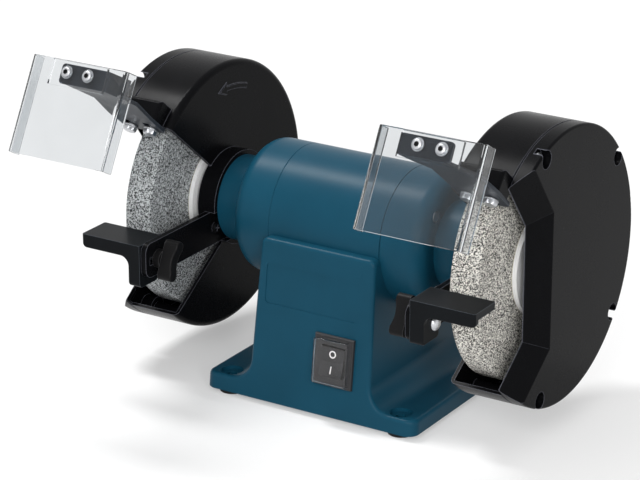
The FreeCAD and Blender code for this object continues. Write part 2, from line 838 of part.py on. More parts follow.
def make_shaft():
    journal = d.bearing_bore_radius - d.press_clearance
    thread = d.thread_radius
    right_step = right_bearing_outer_face - d.bearing_width
    left_step = left_bearing_outer_face - d.bearing_width
    body = turned("shaft", [
        (-d.shaft_end, 0), (d.shaft_end, 0), (d.shaft_end, thread), (d.flange_inner_face, thread),
        (d.flange_inner_face, journal), (right_step, journal), (right_step, d.shaft_core_radius),
        (-left_step, d.shaft_core_radius), (-left_step, journal), (-d.flange_inner_face, journal),
        (-d.flange_inner_face, thread), (-d.shaft_end, thread),
    ])
    round_edges(body, d.wheel_chamfer, lambda edge: near(abs(edge.BoundBox.XMin), d.shaft_end)
                and near(abs(edge.BoundBox.XMax), d.shaft_end), kind="Chamfer")
    keep(body, "shaft")


def make_bearing(side, outer_face):
    """Races and balls of one bearing; side is +1 on the right."""
    name = "right" if side > 0 else "left"
    middle = outer_face - d.bearing_width / 2
    low, high = outer_face - d.bearing_width, outer_face
    if side < 0:
        low, high, middle = -high, -low, -middle
    track = d.ball_radius + d.running_clearance
    for label, inner, outer in (
        ("bearing_outer_race", d.ball_pitch_radius + d.race_half_gap, d.bearing_radius),
        ("bearing_inner_race", d.bearing_bore_radius, d.ball_pitch_radius - d.race_half_gap),
    ):
        race = turned(name + "_" + label, ring_profile(low, high, inner, outer))
        groove = sketch_on(race, "XY_Plane")
        draw_circle(groove, middle, d.ball_pitch_radius, track)
        revolve(race, groove, cut=True)
        keep(race, name + "_" + label)
    balls = []
    for index in range(int(float(d.ball_count))):
        turn = 2 * math.pi * index / float(d.ball_count)
        ball = doc.addObject("Part::Sphere", "ball")
        bind(ball, Radius=d.ball_radius)
        pitch = float(d.ball_pitch_radius)
        ball.Placement.Base = Vector(float(middle), pitch * math.cos(turn),
                                     float(d.axis_height) + pitch * math.sin(turn))
        balls.append(ball)
    group(name + "_bearing_balls", balls)


def make_wave_washer():
    washer = turned("wave_washer", ring_profile(-d.seat_end, -left_bearing_outer_face,
                                                d.ball_pitch_radius + d.race_half_gap,
                                                d.bearing_radius - d.flat_clearance))
    keep(washer, "wave_washer")


# Grinding wheels with their flanges, blotters and nuts

def make_wheel_set():
    relief = d.flange_relief
    spigot_radius = d.wheel_bore_radius - d.running_clearance
    bore = d.thread_radius + d.running_clearance
    face = d.flange_inner_face + d.flange_thickness
    inner = turned("right_inner_flange", [
        (d.flange_inner_face, bore), (face + d.spigot_length, bore), (face + d.spigot_length, spigot_radius),
        (face - relief, spigot_radius), (face - relief, d.flange_relief_radius),
        (face, d.flange_relief_radius), (face, d.flange_radius),
        (d.flange_inner_face + d.flange_relief, d.flange_radius),
        (d.flange_inner_face, d.flange_relief_radius),
    ])
    outer = turned("right_outer_flange", [
        (outer_flange_face + relief, bore), (nut_face, bore), (nut_face, d.flange_relief_radius),
        (nut_face - d.flange_relief, d.flange_radius), (outer_flange_face, d.flange_radius),
        (outer_flange_face, d.flange_relief_radius), (outer_flange_face + relief, d.flange_relief_radius),
    ])
    wheel = turned("right_wheel", ring_profile(wheel_inner_face, wheel_outer_face,
                                               d.wheel_bore_radius, d.wheel_radius))
    round_edges(wheel, d.wheel_chamfer, lambda edge: near(edge.BoundBox.YMax, d.wheel_radius)
                and edge.BoundBox.XLength < 0.01, kind="Chamfer")
    hole = d.wheel_bore_radius + d.flat_clearance
    blotter_radius = d.flange_radius - d.flat_clearance
    near_blotter = turned("near_blotter", ring_profile(face, wheel_inner_face, hole, blotter_radius))
    far_profile = ring_profile(wheel_outer_face, outer_flange_face, hole, blotter_radius)
    far_blotter = turned("far_blotter", far_profile)
    nut = new_body("right_wheel_nut")
    flats = sketch_on(nut, "YZ_Plane", lift=nut_face)
    corners = []
    for index in range(6):
        turn = Size(60 * index + 30)
        corners.append((d.nut_across_corners / 2 * cosine(turn), d.nut_across_corners / 2 * sine(turn)))
    pad(nut, draw_outline(flats, corners), d.nut_height)
    pocket(nut, draw_circle(sketch_on(nut, "YZ_Plane", lift=nut_face), 0, 0, bore), d.nut_height, True)
    place(nut, z=d.axis_height)
    for thing, label in ((inner, "inner_flange"), (outer, "outer_flange"), (wheel, "grinding_wheel"),
                         (nut, "wheel_nut")):
        keep(thing, "right_" + label)
        mirrored(thing, "left_" + label)
    group("right_blotters", [near_blotter, far_blotter])
    mirrored(pieces["right_blotters"], "left_blotters")


# Wheel guards

def cover_screw_angles():
    return [d.cover_screw_back_angle, d.cover_screw_front_angle,
            -d.cover_screw_back_angle, -d.cover_screw_front_angle]


def cover_screw_places():
    return [(cover_screw_pitch_radius * cosine(turn), cover_screw_pitch_radius * sine(turn))
            for turn in cover_screw_angles()]


def arm_screw_places():
    middle_z = -d.arm_top_below_axis - d.arm_height / 2
    return [(-d.arm_screw_first_y - index * d.arm_screw_spacing, middle_z) for index in range(2)]


def make_guard_drum():
    """Inner wall, rim and hub in one casting, open at the front for the work."""
    body = new_body("right_guard_drum")
    start, length = d.guard_inner_face, d.guard_seam_x - d.guard_inner_face
    pad(body, draw_circle(sketch_on(body, "YZ_Plane", lift=start), 0, 0, d.guard_radius), length)
    round_edges(body, d.guard_edge, lambda edge: near(edge.BoundBox.XMax, start)
                and near(edge.BoundBox.YMax, d.guard_radius))
    round_edges(body, d.seam_chamfer, lambda edge: near(edge.BoundBox.XMin, d.guard_seam_x)
                and near(edge.BoundBox.YMax, d.guard_radius), kind="Chamfer")
    inside = sketch_on(body, "YZ_Plane", lift=start + d.guard_wall)
    pocket(body, draw_circle(inside, 0, 0, d.guard_radius - d.guard_wall), length - d.guard_wall, True)
    bosses = sketch_on(body, "YZ_Plane", lift=start + d.guard_wall)
    for y, z in cover_screw_places():
        draw_circle(bosses, y, z, d.screw_boss_radius)
    pad(body, bosses, length - d.guard_wall)
    reach = 2 * d.guard_radius
    top = (-mouth_top_y, mouth_top_z)
    cos_top, sin_top = cosine(d.mouth_angle), sine(d.mouth_angle)
    cos_low, sin_low = cosine(d.mouth_low_angle), sine(d.mouth_low_angle)
    mouth = [
        (top[0] - d.mouth_reach * cos_top, top[1] + d.mouth_reach * sin_top),
        (top[0] + d.mouth_reach * cos_top, top[1] - d.mouth_reach * sin_top),
        (-d.mouth_low_y, -d.mouth_low_z),
        (-d.mouth_low_y - reach * cos_low, -d.mouth_low_z - reach * sin_low),
        (-d.mouth_low_y - 2 * reach, -d.mouth_low_z - reach * sin_low),
        (-d.mouth_low_y - 2 * reach, top[1] + d.mouth_reach * sin_top),
    ]
    pocket(body, draw_outline(sketch_on(body, "YZ_Plane", lift=start), mouth), length, True)
    hub = sketch_on(body, "YZ_Plane", lift=d.boss_end)
    pad(body, draw_circle(hub, 0, 0, d.hub_radius), start + d.guard_wall - d.boss_end)
    lug = sketch_on(body, "YZ_Plane", top[0], top[1], d.lug_end_x - d.lug_width, AXIS_Z, mouth_turn)
    pad(body, draw_outline(lug, rectangle(-d.lug_in, d.lug_out, -d.lug_depth, 0)), d.lug_width)
    out_y, out_z = -cos_top, sin_top
    lug_tip_y = float(top[0] + d.lug_out * out_y)
    lug_tip_z = float(top[1] + d.lug_out * out_z)

    def on_lug_end(edge):
        """Straight edges of the lug's outer end face, apart from the one under the bracket."""
        middle = edge.CenterOfMass
        along = (middle.y - lug_tip_y) * float(out_y) + (middle.z - lug_tip_z) * float(out_z)
        across = (middle.y - lug_tip_y) * float(out_z) - (middle.z - lug_tip_z) * float(out_y)
        return abs(along) < 0.05 and across > 1.0 and edge.Curve.TypeId == "Part::GeomLine"

    round_edges(body, d.lug_edge, on_lug_end)
    bore = sketch_on(body, "YZ_Plane", lift=d.boss_end)
    pocket(body, draw_circle(bore, 0, 0, d.hub_bore_radius), start + d.guard_wall - d.boss_end, True)
    arm_seat = d.arm_inner_x + d.arm_thickness
    slot = sketch_on(body, "YZ_Plane", lift=d.boss_end)
    seat_top = -d.arm_top_below_axis + d.flat_clearance
    seat_low = -d.arm_top_below_axis - d.arm_height - d.flat_clearance
    draw_outline(slot, rectangle(-d.hub_radius - 1, -d.arm_root_y + d.flat_clearance, seat_low, seat_top))
    pocket(body, slot, arm_seat - d.boss_end, True)
    shanks = sketch_on(body, "YZ_Plane", lift=d.boss_end)
    heads = sketch_on(body, "YZ_Plane", lift=guard_bolt_seat())
    for y, z in guard_bolt_places():
        draw_circle(shanks, y, z, d.guard_bolt_radius + d.flat_clearance)
        draw_circle(heads, y, z, d.guard_bolt_head_radius + d.slide_clearance)
    pocket(body, shanks, guard_bolt_seat() - d.boss_end, True)
    pocket(body, heads, d.guard_bolt_head_height + d.flat_clearance, True)
    arm_holes = sketch_on(body, "YZ_Plane", lift=arm_seat)
    for y, z in arm_screw_places():
        draw_circle(arm_holes, y, z, d.arm_screw_radius + d.press_clearance)
    pocket(body, arm_holes, d.arm_screw_depth, True)
    cover_holes = sketch_on(body, "YZ_Plane", lift=d.guard_seam_x)
    for y, z in cover_screw_places():
        draw_circle(cover_holes, y, z, d.cover_screw_radius + d.press_clearance)
    pocket(body, cover_holes, d.cover_screw_length)
    clamp_holes = sketch_on(body, "XZ_Plane")
    clamp_holes.MapMode = "Deactivated"
    clamp_holes.Placement = lug_frame(local=True)
    for x in clamp_bolt_offsets():
        draw_circle(clamp_holes, x, -d.clamp_bolt_inset, d.clamp_bolt_radius + d.press_clearance)
    pocket(body, clamp_holes, d.clamp_bolt_depth)
    place(body, z=d.axis_height)
    keep(body, "right_guard_drum")
    mirrored(body, "left_guard_drum")


def guard_bolt_seat():
    return d.guard_inner_face + d.guard_wall - d.guard_bolt_head_height - d.flat_clearance


def clamp_bolt_offsets():
    """Places of the two clamp bolts along the shaft."""
    return [d.shield_centre_x + side * d.clamp_bolt_spacing / 2 for side in (-1, 1)]


def lug_frame(local=False):
    """Frame of the lug's face: x along the shaft, y out along the bracket, z out of the face."""
    height = mouth_top_z if local else mouth_top_z + d.axis_height
    return sloping_frame(d.mouth_angle, -mouth_top_y, height)


def sloping_frame(angle, y, z):
    """Frame with x along the shaft, y forwards and up at an angle, and z out of that plane, downwards."""
    slope = math.radians(float(angle))
    outwards = Vector(0, -math.cos(slope), math.sin(slope))
    spin = Rotation(AXIS_X, outwards, AXIS_X.cross(outwards), "ZXY")
    return Placement(Vector(0, float(y), float(z)), spin)


def make_dish(name, radius, end_x, setback_start, setback_end, notch_radius, notch_start):
    """A disc on the seam whose three front facets slope back, with a round notch at each cover screw."""
    body = new_body(name)
    disc = sketch_on(body, "YZ_Plane", lift=d.guard_seam_x)
    pad(body, draw_circle(disc, 0, 0, radius), end_x - d.guard_seam_x)
    reach = d.guard_radius
    sections = []
    for lift, setback in ((d.guard_seam_x, setback_start), (end_x, setback_end)):
        chord = -d.cover_chord + setback
        top = d.cover_chord_top + setback * tangent(d.cover_top_slope / 2)
        low = -d.cover_chord_bottom - setback * tangent(d.cover_bottom_slope / 2)
        top_end = (chord - reach * sine(d.cover_top_slope), top + reach * cosine(d.cover_top_slope))
        low_end = (chord - reach * sine(d.cover_bottom_slope), low - reach * cosine(d.cover_bottom_slope))
        front = -2 * reach
        points = [top_end, (chord, top), (chord, low), low_end, (front, low_end[1]), (front, top_end[1])]
        sections.append(draw_outline(sketch_on(body, "YZ_Plane", lift=lift), points))
    before = body.Shape.Volume
    loft = body.newObject("PartDesign::SubtractiveLoft", name + "_facets")
    loft.Profile = sections[0]
    loft.Sections = [sections[1]]
    loft.Ruled = True
    doc.recompute()
    if body.Shape.Volume > before - 1:
        raise RuntimeError("%s has no front facets" % name)
    notches = sketch_on(body, "YZ_Plane", lift=notch_start)
    for y, z in cover_screw_places():
        draw_circle(notches, y, z, notch_radius)
    pocket(body, notches, end_x - notch_start, True)
    return body


def make_guard_cover():
    """Pressed side cover: a shallow hollow dish with facets at the front and screw pillars at the rim."""
    depth = d.cover_end - d.guard_seam_x
    outer = make_dish("guard_cover_outside", d.guard_radius, d.cover_end, Size(0), d.cover_setback,
                      d.cover_notch_radius, d.cover_end - d.cover_notch_depth)

    def on_outer_face(edge):
        """Edges of the flat outer face, apart from the notches."""
        flat = near(edge.BoundBox.XMin, d.cover_end, 0.01) and near(edge.BoundBox.XMax, d.cover_end, 0.01)
        return flat and (edge.Curve.TypeId == "Part::GeomLine" or near(edge.Curve.Radius, d.guard_radius))

    round_edges(outer, d.cover_edge, on_outer_face)
    round_edges(outer, d.seam_chamfer, lambda edge: near(edge.BoundBox.XMin, d.guard_seam_x, 0.01)
                and near(edge.BoundBox.XMax, d.guard_seam_x, 0.01)
                and edge.Curve.TypeId == "Part::GeomCircle" and near(edge.Curve.Radius, d.guard_radius),
                kind="Chamfer")
    holes = sketch_on(outer, "YZ_Plane", lift=d.guard_seam_x)
    for y, z in cover_screw_places():
        draw_circle(holes, y, z, d.cover_screw_radius + d.flat_clearance)
    pocket(outer, holes, depth, True)
    facet_shift = d.cover_wall / cosine(arctangent(d.cover_setback / depth))
    inner_end = d.cover_end - d.cover_wall
    inner_setback = facet_shift + d.cover_setback * (depth - d.cover_wall) / depth
    inner = make_dish("guard_cover_inside", d.guard_radius - d.cover_wall, inner_end, facet_shift,
                      inner_setback, d.cover_notch_radius + d.cover_wall, d.guard_seam_x)
    cover = cut(outer, inner)
    place(cover, z=d.axis_height)
    keep(cover, "right_guard_cover")
    mirrored(cover, "left_guard_cover")


def make_guard_fasteners():
    cover_screws, guard_bolts, arm_screws = [], [], []
    axis_z = float(d.axis_height)
    for side in (-1, 1):
        inwards = Vector(-side, 0, 0)
        notch_floor = side * float(d.cover_end - d.cover_notch_depth)
        for y, z in cover_screw_places():
            seat = (notch_floor, float(y), axis_z + float(z))
            cover_screws.append(headed_screw(seat, inwards, d.cover_screw_head_radius,
                                             d.cover_screw_head_height, d.cover_screw_radius,
                                             d.cover_screw_length))
        for y, z in guard_bolt_places():
            seat = (side * float(guard_bolt_seat()), float(y), axis_z + float(z))
            length = guard_bolt_seat() - d.boss_end + d.guard_bolt_depth - d.flat_clearance
            guard_bolts.append(headed_screw(seat, inwards, d.guard_bolt_head_radius, d.guard_bolt_head_height,
                                            d.guard_bolt_radius, length))
        for y, z in arm_screw_places():
            seat = (side * float(d.arm_inner_x), float(y), axis_z + float(z))
            arm_screws.append(headed_screw(seat, -inwards, d.arm_screw_head_radius, d.arm_screw_head_height,
                                           d.arm_screw_radius, d.arm_thickness + d.arm_screw_depth))
    group("cover_screws", cover_screws)
    group("guard_bolts", guard_bolts)
    group("arm_screws", arm_screws)


# Eye shields: a clear lens on a slotted steel bracket, clamped to the guard's lug

def lens_placement(thing, x=0):
    place(thing, x, -lens_top_y, d.axis_height + lens_top_above_axis, AXIS_X, -d.lens_tilt)


def slid_out(twin):
    """Push a left-hand shield piece out along the lug, where the left shield stands at rest."""
    place(twin, y=-d.left_shield_out * cosine(d.mouth_angle), z=d.left_shield_out * sine(d.mouth_angle))
    return twin


def lens_screw_places():
    return [(d.shield_centre_x + side * d.lens_screw_spacing / 2, -d.lens_screw_drop) for side in (-1, 1)]


def make_lens():
    """Moulded clear shield in its own frame: top edge at z = 0, front face at y = 0."""
    body = new_body("right_lens")
    low, high = d.shield_centre_x - d.lens_width / 2, d.shield_centre_x + d.lens_width / 2
    channel = [
        (low, 0), (high, 0), (high, d.lens_flange), (high - d.lens_thickness, d.lens_flange),
        (high - d.lens_thickness, d.lens_thickness), (low + d.lens_thickness, d.lens_thickness),
        (low + d.lens_thickness, d.lens_flange), (low, d.lens_flange),
    ]
    pad(body, draw_outline(sketch_on(body, "XY_Plane"), channel), d.lens_height, True)
    back = sketch_on(body, "XZ_Plane", lift=-d.lens_thickness)
    raised = rectangle(d.shield_centre_x - d.lens_pad_width / 2, d.shield_centre_x + d.lens_pad_width / 2,
                       -d.lens_pad_height, 0)
    pad(body, draw_outline(back, raised), d.lens_pad_rise, True)
    round_edges(body, d.lens_pad_corner, lambda edge: near(edge.Length, d.lens_pad_rise, 0.01)
                and near(edge.CenterOfMass.z, -d.lens_pad_height))
    round_edges(body, d.lens_edge, lambda edge: near(edge.CenterOfMass.y, 0, 0.01)
                and (near(edge.CenterOfMass.x, low) or near(edge.CenterOfMass.x, high)
                     or near(edge.CenterOfMass.z, 0) or near(edge.CenterOfMass.z, -d.lens_height)))
    holes = sketch_on(body, "XZ_Plane")
    sinks = sketch_on(body, "XZ_Plane")
    for x, z in lens_screw_places():
        draw_circle(holes, x, z, d.lens_screw_radius + d.flat_clearance)
        draw_circle(sinks, x, z, d.lens_washer_radius + d.slide_clearance)
    pocket(body, holes, strip_front)
    pocket(body, sinks, d.lens_screw_sink)
    lens_placement(body)
    keep(body, "right_lens")
    slid_out(mirrored(body, "left_lens"))


def make_lens_screws():
    """Socket screws with washers, in the lens's frame."""
    screws = []
    for x, z in lens_screw_places():
        floor = d.lens_screw_sink
        washer = cylinder(d.lens_washer_radius, d.lens_washer_thickness, (x, floor, z), -AXIS_Y)
        seat = (x, floor - d.lens_washer_thickness, z)
        head = cylinder(d.lens_screw_head_radius, d.lens_screw_head_height, seat, -AXIS_Y)
        length = d.lens_washer_thickness + strip_front - floor + d.bracket_thickness
        shank = cylinder(d.lens_screw_radius, length, seat, AXIS_Y)
        nut_seat = (x, strip_front + d.bracket_thickness, z)
        nut_radius = d.lens_screw_head_radius + d.lens_washer_thickness
        nut = hexagon(nut_radius, d.bracket_thickness, nut_seat, AXIS_Y)
        screws.append(fused(washer, head, shank, nut))
    screw_set = group("right_lens_screws", screws)
    lens_placement(screw_set)
    slid_out(mirrored(screw_set, "left_lens_screws"))


def make_bracket():
    """Arm that slides on the lug, bent level into a shelf with a strip behind the lens and a side flap."""
    body = new_body("right_bracket")
    middle, half = d.shield_centre_x, d.bracket_width / 2
    strip_low, strip_high = middle - d.bracket_strip_inner, middle + d.bracket_strip_outer
    strip_foot = d.bracket_strip_drop + d.bracket_strip
    shelf_drop = strip_foot - d.bracket_thickness
    bend = d.mouth_angle - d.lens_tilt
    lug_back = d.lens_forward * cosine(d.lens_tilt) + d.lens_rise * sine(d.lens_tilt)
    lug_drop = d.lens_rise * cosine(d.lens_tilt) - d.lens_forward * sine(d.lens_tilt)
    bend_out = (lug_drop - shelf_drop) / sine(bend)
    bend_back = lug_back - bend_out * cosine(bend)
    bend_low, bend_high = middle - half - d.bracket_spread, middle + half - d.bracket_waist
    arm = sketch_on(body, "XZ_Plane")
    arm.MapMode = "Deactivated"
    arm.Placement = lug_frame()
    draw_outline(arm, [
        (middle - half, -d.bracket_tail), (middle + half, -d.bracket_tail), (middle + half, d.lug_out),
        (bend_high, bend_out), (bend_low, bend_out), (middle - half, d.lug_out),
    ])
    pad(body, arm, d.bracket_thickness)
    round_edges(body, d.bracket_corner, lambda edge: near(edge.Length, d.bracket_thickness, 0.01)
                and edge.CenterOfMass.z < float(d.axis_height + mouth_top_z))
    shelf = sketch_on(body, "XZ_Plane")
    shelf.MapMode = "Deactivated"
    shelf.Placement = sloping_frame(
        d.lens_tilt, -lens_top_y - shelf_drop * sine(d.lens_tilt),
        d.axis_height + lens_top_above_axis - shelf_drop * cosine(d.lens_tilt))
    flap_back = strip_front + d.bracket_flap_depth
    draw_outline(shelf, [
        (bend_low, -bend_back), (bend_high, -bend_back), (middle + d.bracket_neck_outer, -strip_front),
        (strip_low, -strip_front), (strip_low, -flap_back),
    ])
    pad(body, shelf, d.bracket_thickness)
    for depth, length in ((d.bracket_thickness, strip_high - strip_low),
                          (d.bracket_flap_depth, d.bracket_thickness)):
        plate = sketch_on(body, "YZ_Plane", -lens_top_y, d.axis_height + lens_top_above_axis, strip_low,
                          AXIS_Z, -d.lens_tilt)
        draw_outline(plate, rectangle(strip_front, strip_front + depth, -strip_foot, -d.bracket_strip_drop))
        pad(body, plate, length)
    round_edges(body, d.bracket_strip_corner, lambda edge: near(edge.Length, d.bracket_thickness, 0.01)
                and near(edge.CenterOfMass.x, strip_high, 0.01))
    slots = sketch_on(body, "XZ_Plane")
    slots.MapMode = "Deactivated"
    slots.Placement = lug_frame()
    slot_half = d.clamp_bolt_radius + d.slide_clearance
    slot_low = -d.clamp_bolt_inset - d.bracket_slot_travel_out - slot_half
    slot_high = -d.clamp_bolt_inset + d.bracket_slot_travel_in + slot_half
    for x in clamp_bolt_offsets():
        draw_outline(slots, rectangle(x - slot_half, x + slot_half, slot_low, slot_high))
    pocket(body, slots, d.bracket_thickness, True)
    holes = sketch_on(body, "XZ_Plane")
    holes.MapMode = "Deactivated"
    tilt = Rotation(AXIS_X, 90 - float(d.lens_tilt))
    lens_top = Vector(0, -float(lens_top_y), float(d.axis_height + lens_top_above_axis))
    holes.Placement = Placement(lens_top, tilt)
    for x, z in lens_screw_places():
        draw_circle(holes, x, z, d.lens_screw_radius + d.flat_clearance)
    pocket(body, holes, strip_front + d.bracket_thickness + d.flat_clearance)
    keep(body, "right_bracket")
    slid_out(mirrored(body, "left_bracket"))


def make_clamp_bolts():
    frame = lug_frame()
    normal = frame.Rotation.multVec(AXIS_Z)
    bolts = []
    for x in clamp_bolt_offsets():
        for side in (-1, 1):
            spot = frame.multVec(Vector(float(x), -float(d.clamp_bolt_inset), float(d.bracket_thickness)))
            seat = (side * spot.x, spot.y, spot.z)
            washer = cylinder(d.clamp_washer_radius, d.clamp_washer_thickness,
                              along_point(seat, normal, d.flat_clearance), normal)
            head_seat = along_point(seat, normal, d.flat_clearance + d.clamp_washer_thickness)
            head = hexagon(d.clamp_bolt_head_corner, d.clamp_bolt_head_height, head_seat, normal)
            length = d.clamp_washer_thickness + d.bracket_thickness + d.clamp_bolt_depth
            shank = cylinder(d.clamp_bolt_radius, length, head_seat, -normal)
            bolts.append(fused(washer, head, shank))
    group("clamp_bolts", bolts)


# Tool rests on their support arms

def make_support_arm():
    body = new_body("right_rest_arm")
    top = -d.arm_top_below_axis
    low = top - d.arm_height
    outline = rectangle(-d.arm_front_y, -d.arm_root_y, low, top)
    pad(body, draw_outline(sketch_on(body, "YZ_Plane", lift=d.arm_inner_x), outline), d.arm_thickness)
    round_edges(body, d.arm_corner, lambda edge: runs_along(edge, AXIS_X)
                and near(edge.CenterOfMass.y, -d.arm_front_y))
    slot_half = d.rest_bolt_radius + d.slide_clearance
    slot = sketch_on(body, "YZ_Plane", lift=d.arm_inner_x)
    slot_front = -d.rest_bolt_y - d.rest_travel - slot_half
    draw_outline(slot, rectangle(slot_front, -d.arm_slot_back_y, -d.rest_bolt_below_axis - slot_half,
                                 -d.rest_bolt_below_axis + slot_half))
    for y, z in arm_screw_places():
        draw_circle(slot, y, z, d.arm_screw_radius + d.flat_clearance)
    pocket(body, slot, d.arm_thickness, True)
    place(body, z=d.axis_height)
    keep(body, "right_rest_arm")
    mirrored(body, "left_rest_arm")


def make_tool_rest(name, top):
    """Cast rest: a plate with a front skirt and a leg that hangs beside the support arm."""
    body = new_body(name)
    plate = rectangle(d.rest_inner_x, d.rest_outer_x, rest_front_y, rest_back_y)
    pad(body, draw_outline(sketch_on(body, "XY_Plane", lift=top), plate), d.rest_thickness, True)
    skirt_back = rest_front_y + d.rest_skirt_thickness
    skirt = rectangle(d.rest_inner_x, d.rest_outer_x, rest_front_y, skirt_back)
    pad(body, draw_outline(sketch_on(body, "XY_Plane", lift=top), skirt), d.rest_skirt_height, True)
    leg = rectangle(d.rest_inner_x, d.rest_inner_x + d.leg_width, rest_front_y, rest_front_y + d.leg_depth)
    pad(body, draw_outline(sketch_on(body, "XY_Plane", lift=top), leg), d.leg_height, True)
    slot_half = d.rest_bolt_radius + d.slide_clearance
    slot = sketch_on(body, "YZ_Plane", lift=d.rest_inner_x)
    draw_outline(slot, rectangle(-d.rest_bolt_y - slot_half, -d.rest_bolt_y + slot_half,
                                 -d.leg_slot_up, -d.leg_slot_down))
    pocket(body, slot, d.leg_width, True)
    skirt_low = top - d.rest_skirt_height
    round_edges(body, d.rest_corner, lambda edge: runs_along(edge, AXIS_Y)
                and near(edge.CenterOfMass.z, skirt_low) and near(edge.CenterOfMass.x, d.rest_outer_x))
    round_edges(body, d.rest_web, lambda edge: runs_along(edge, AXIS_Y)
                and near(edge.CenterOfMass.z, skirt_low)
                and near(edge.CenterOfMass.x, d.rest_inner_x + d.leg_width))
    round_edges(body, d.rest_corner, lambda edge: runs_along(edge, AXIS_X)
                and near(edge.CenterOfMass.z, top - d.leg_height))
    round_edges(body, d.rest_edge, lambda edge: runs_along(edge, AXIS_Z)
                and near(edge.CenterOfMass.x, d.rest_outer_x)
                and (near(edge.CenterOfMass.y, rest_front_y) or near(edge.CenterOfMass.y, rest_back_y)))
    place(body, z=d.axis_height)
    return body


def make_tool_rests():
    keep(make_tool_rest("right_tool_rest", d.rest_right_top), "right_tool_rest")
    mirrored(make_tool_rest("left_rest_pattern", d.rest_left_top), "left_tool_rest")


def make_rest_clamps():
    """Round-headed clamp bolt through the leg and the arm, and the wing knob that tightens it."""
    bolt_z = d.axis_height - d.rest_bolt_below_axis
    leg_face = d.rest_inner_x + d.leg_width + d.flat_clearance
    knob_face = d.arm_inner_x - d.flat_clearance
    knob_tip = knob_face - d.knob_hub_depth - d.knob_depth
    bolt = turned("right_rest_bolt", [
        (knob_face - d.knob_hub_depth, 0), (leg_face + d.rest_bolt_head_height, 0),
        (leg_face + d.rest_bolt_head_height, d.rest_bolt_head_radius * 0.6),
        (leg_face, d.rest_bolt_head_radius),
        (leg_face, d.rest_bolt_radius), (knob_face - d.knob_hub_depth, d.rest_bolt_radius),
    ])
    place(bolt, y=-d.rest_bolt_y, z=bolt_z)
    keep(bolt, "right_rest_bolt")
    mirrored(bolt, "left_rest_bolt")
    knob = new_body("right_rest_knob")
    wing = sketch_on(knob, "YZ_Plane", lift=knob_tip)
    pad(knob, draw_outline(wing, centred(d.knob_thickness, d.knob_length)), d.knob_depth)
    round_edges(knob, d.knob_thickness / 2.2, lambda edge: runs_along(edge, AXIS_X))
    scoop_radius = d.knob_length * 0.7
    scoop = sketch_on(knob, "XZ_Plane", lift=d.knob_thickness / 2)
    draw_circle(scoop, knob_tip - scoop_radius + d.knob_waist, 0, scoop_radius)
    pocket(knob, scoop, d.knob_thickness)
    round_edges(knob, d.knob_edge, lambda edge: edge.BoundBox.XMax < float(knob_tip + d.knob_waist + 0.01))
    hub = sketch_on(knob, "YZ_Plane", lift=knob_face - d.knob_hub_depth)
    pad(knob, draw_circle(hub, 0, 0, d.knob_hub_radius), d.knob_hub_depth)
    hole = sketch_on(knob, "YZ_Plane", lift=knob_face - d.knob_hub_depth)
    draw_circle(hole, 0, 0, d.rest_bolt_radius + d.running_clearance)
    pocket(knob, hole, d.knob_hub_depth, True)
    place(knob, 0, -d.rest_bolt_y, bolt_z, AXIS_X, -d.knob_rest_angle)
    keep(knob, "right_rest_knob")
    mirrored(knob, "left_rest_knob")


# Switch on the front face, with its rocker and clear dust cover

def on_front_face(thing):
    place(thing, d.switch_centre_x, face_y(d.switch_centre_z), d.switch_centre_z, AXIS_X, -face_angle)


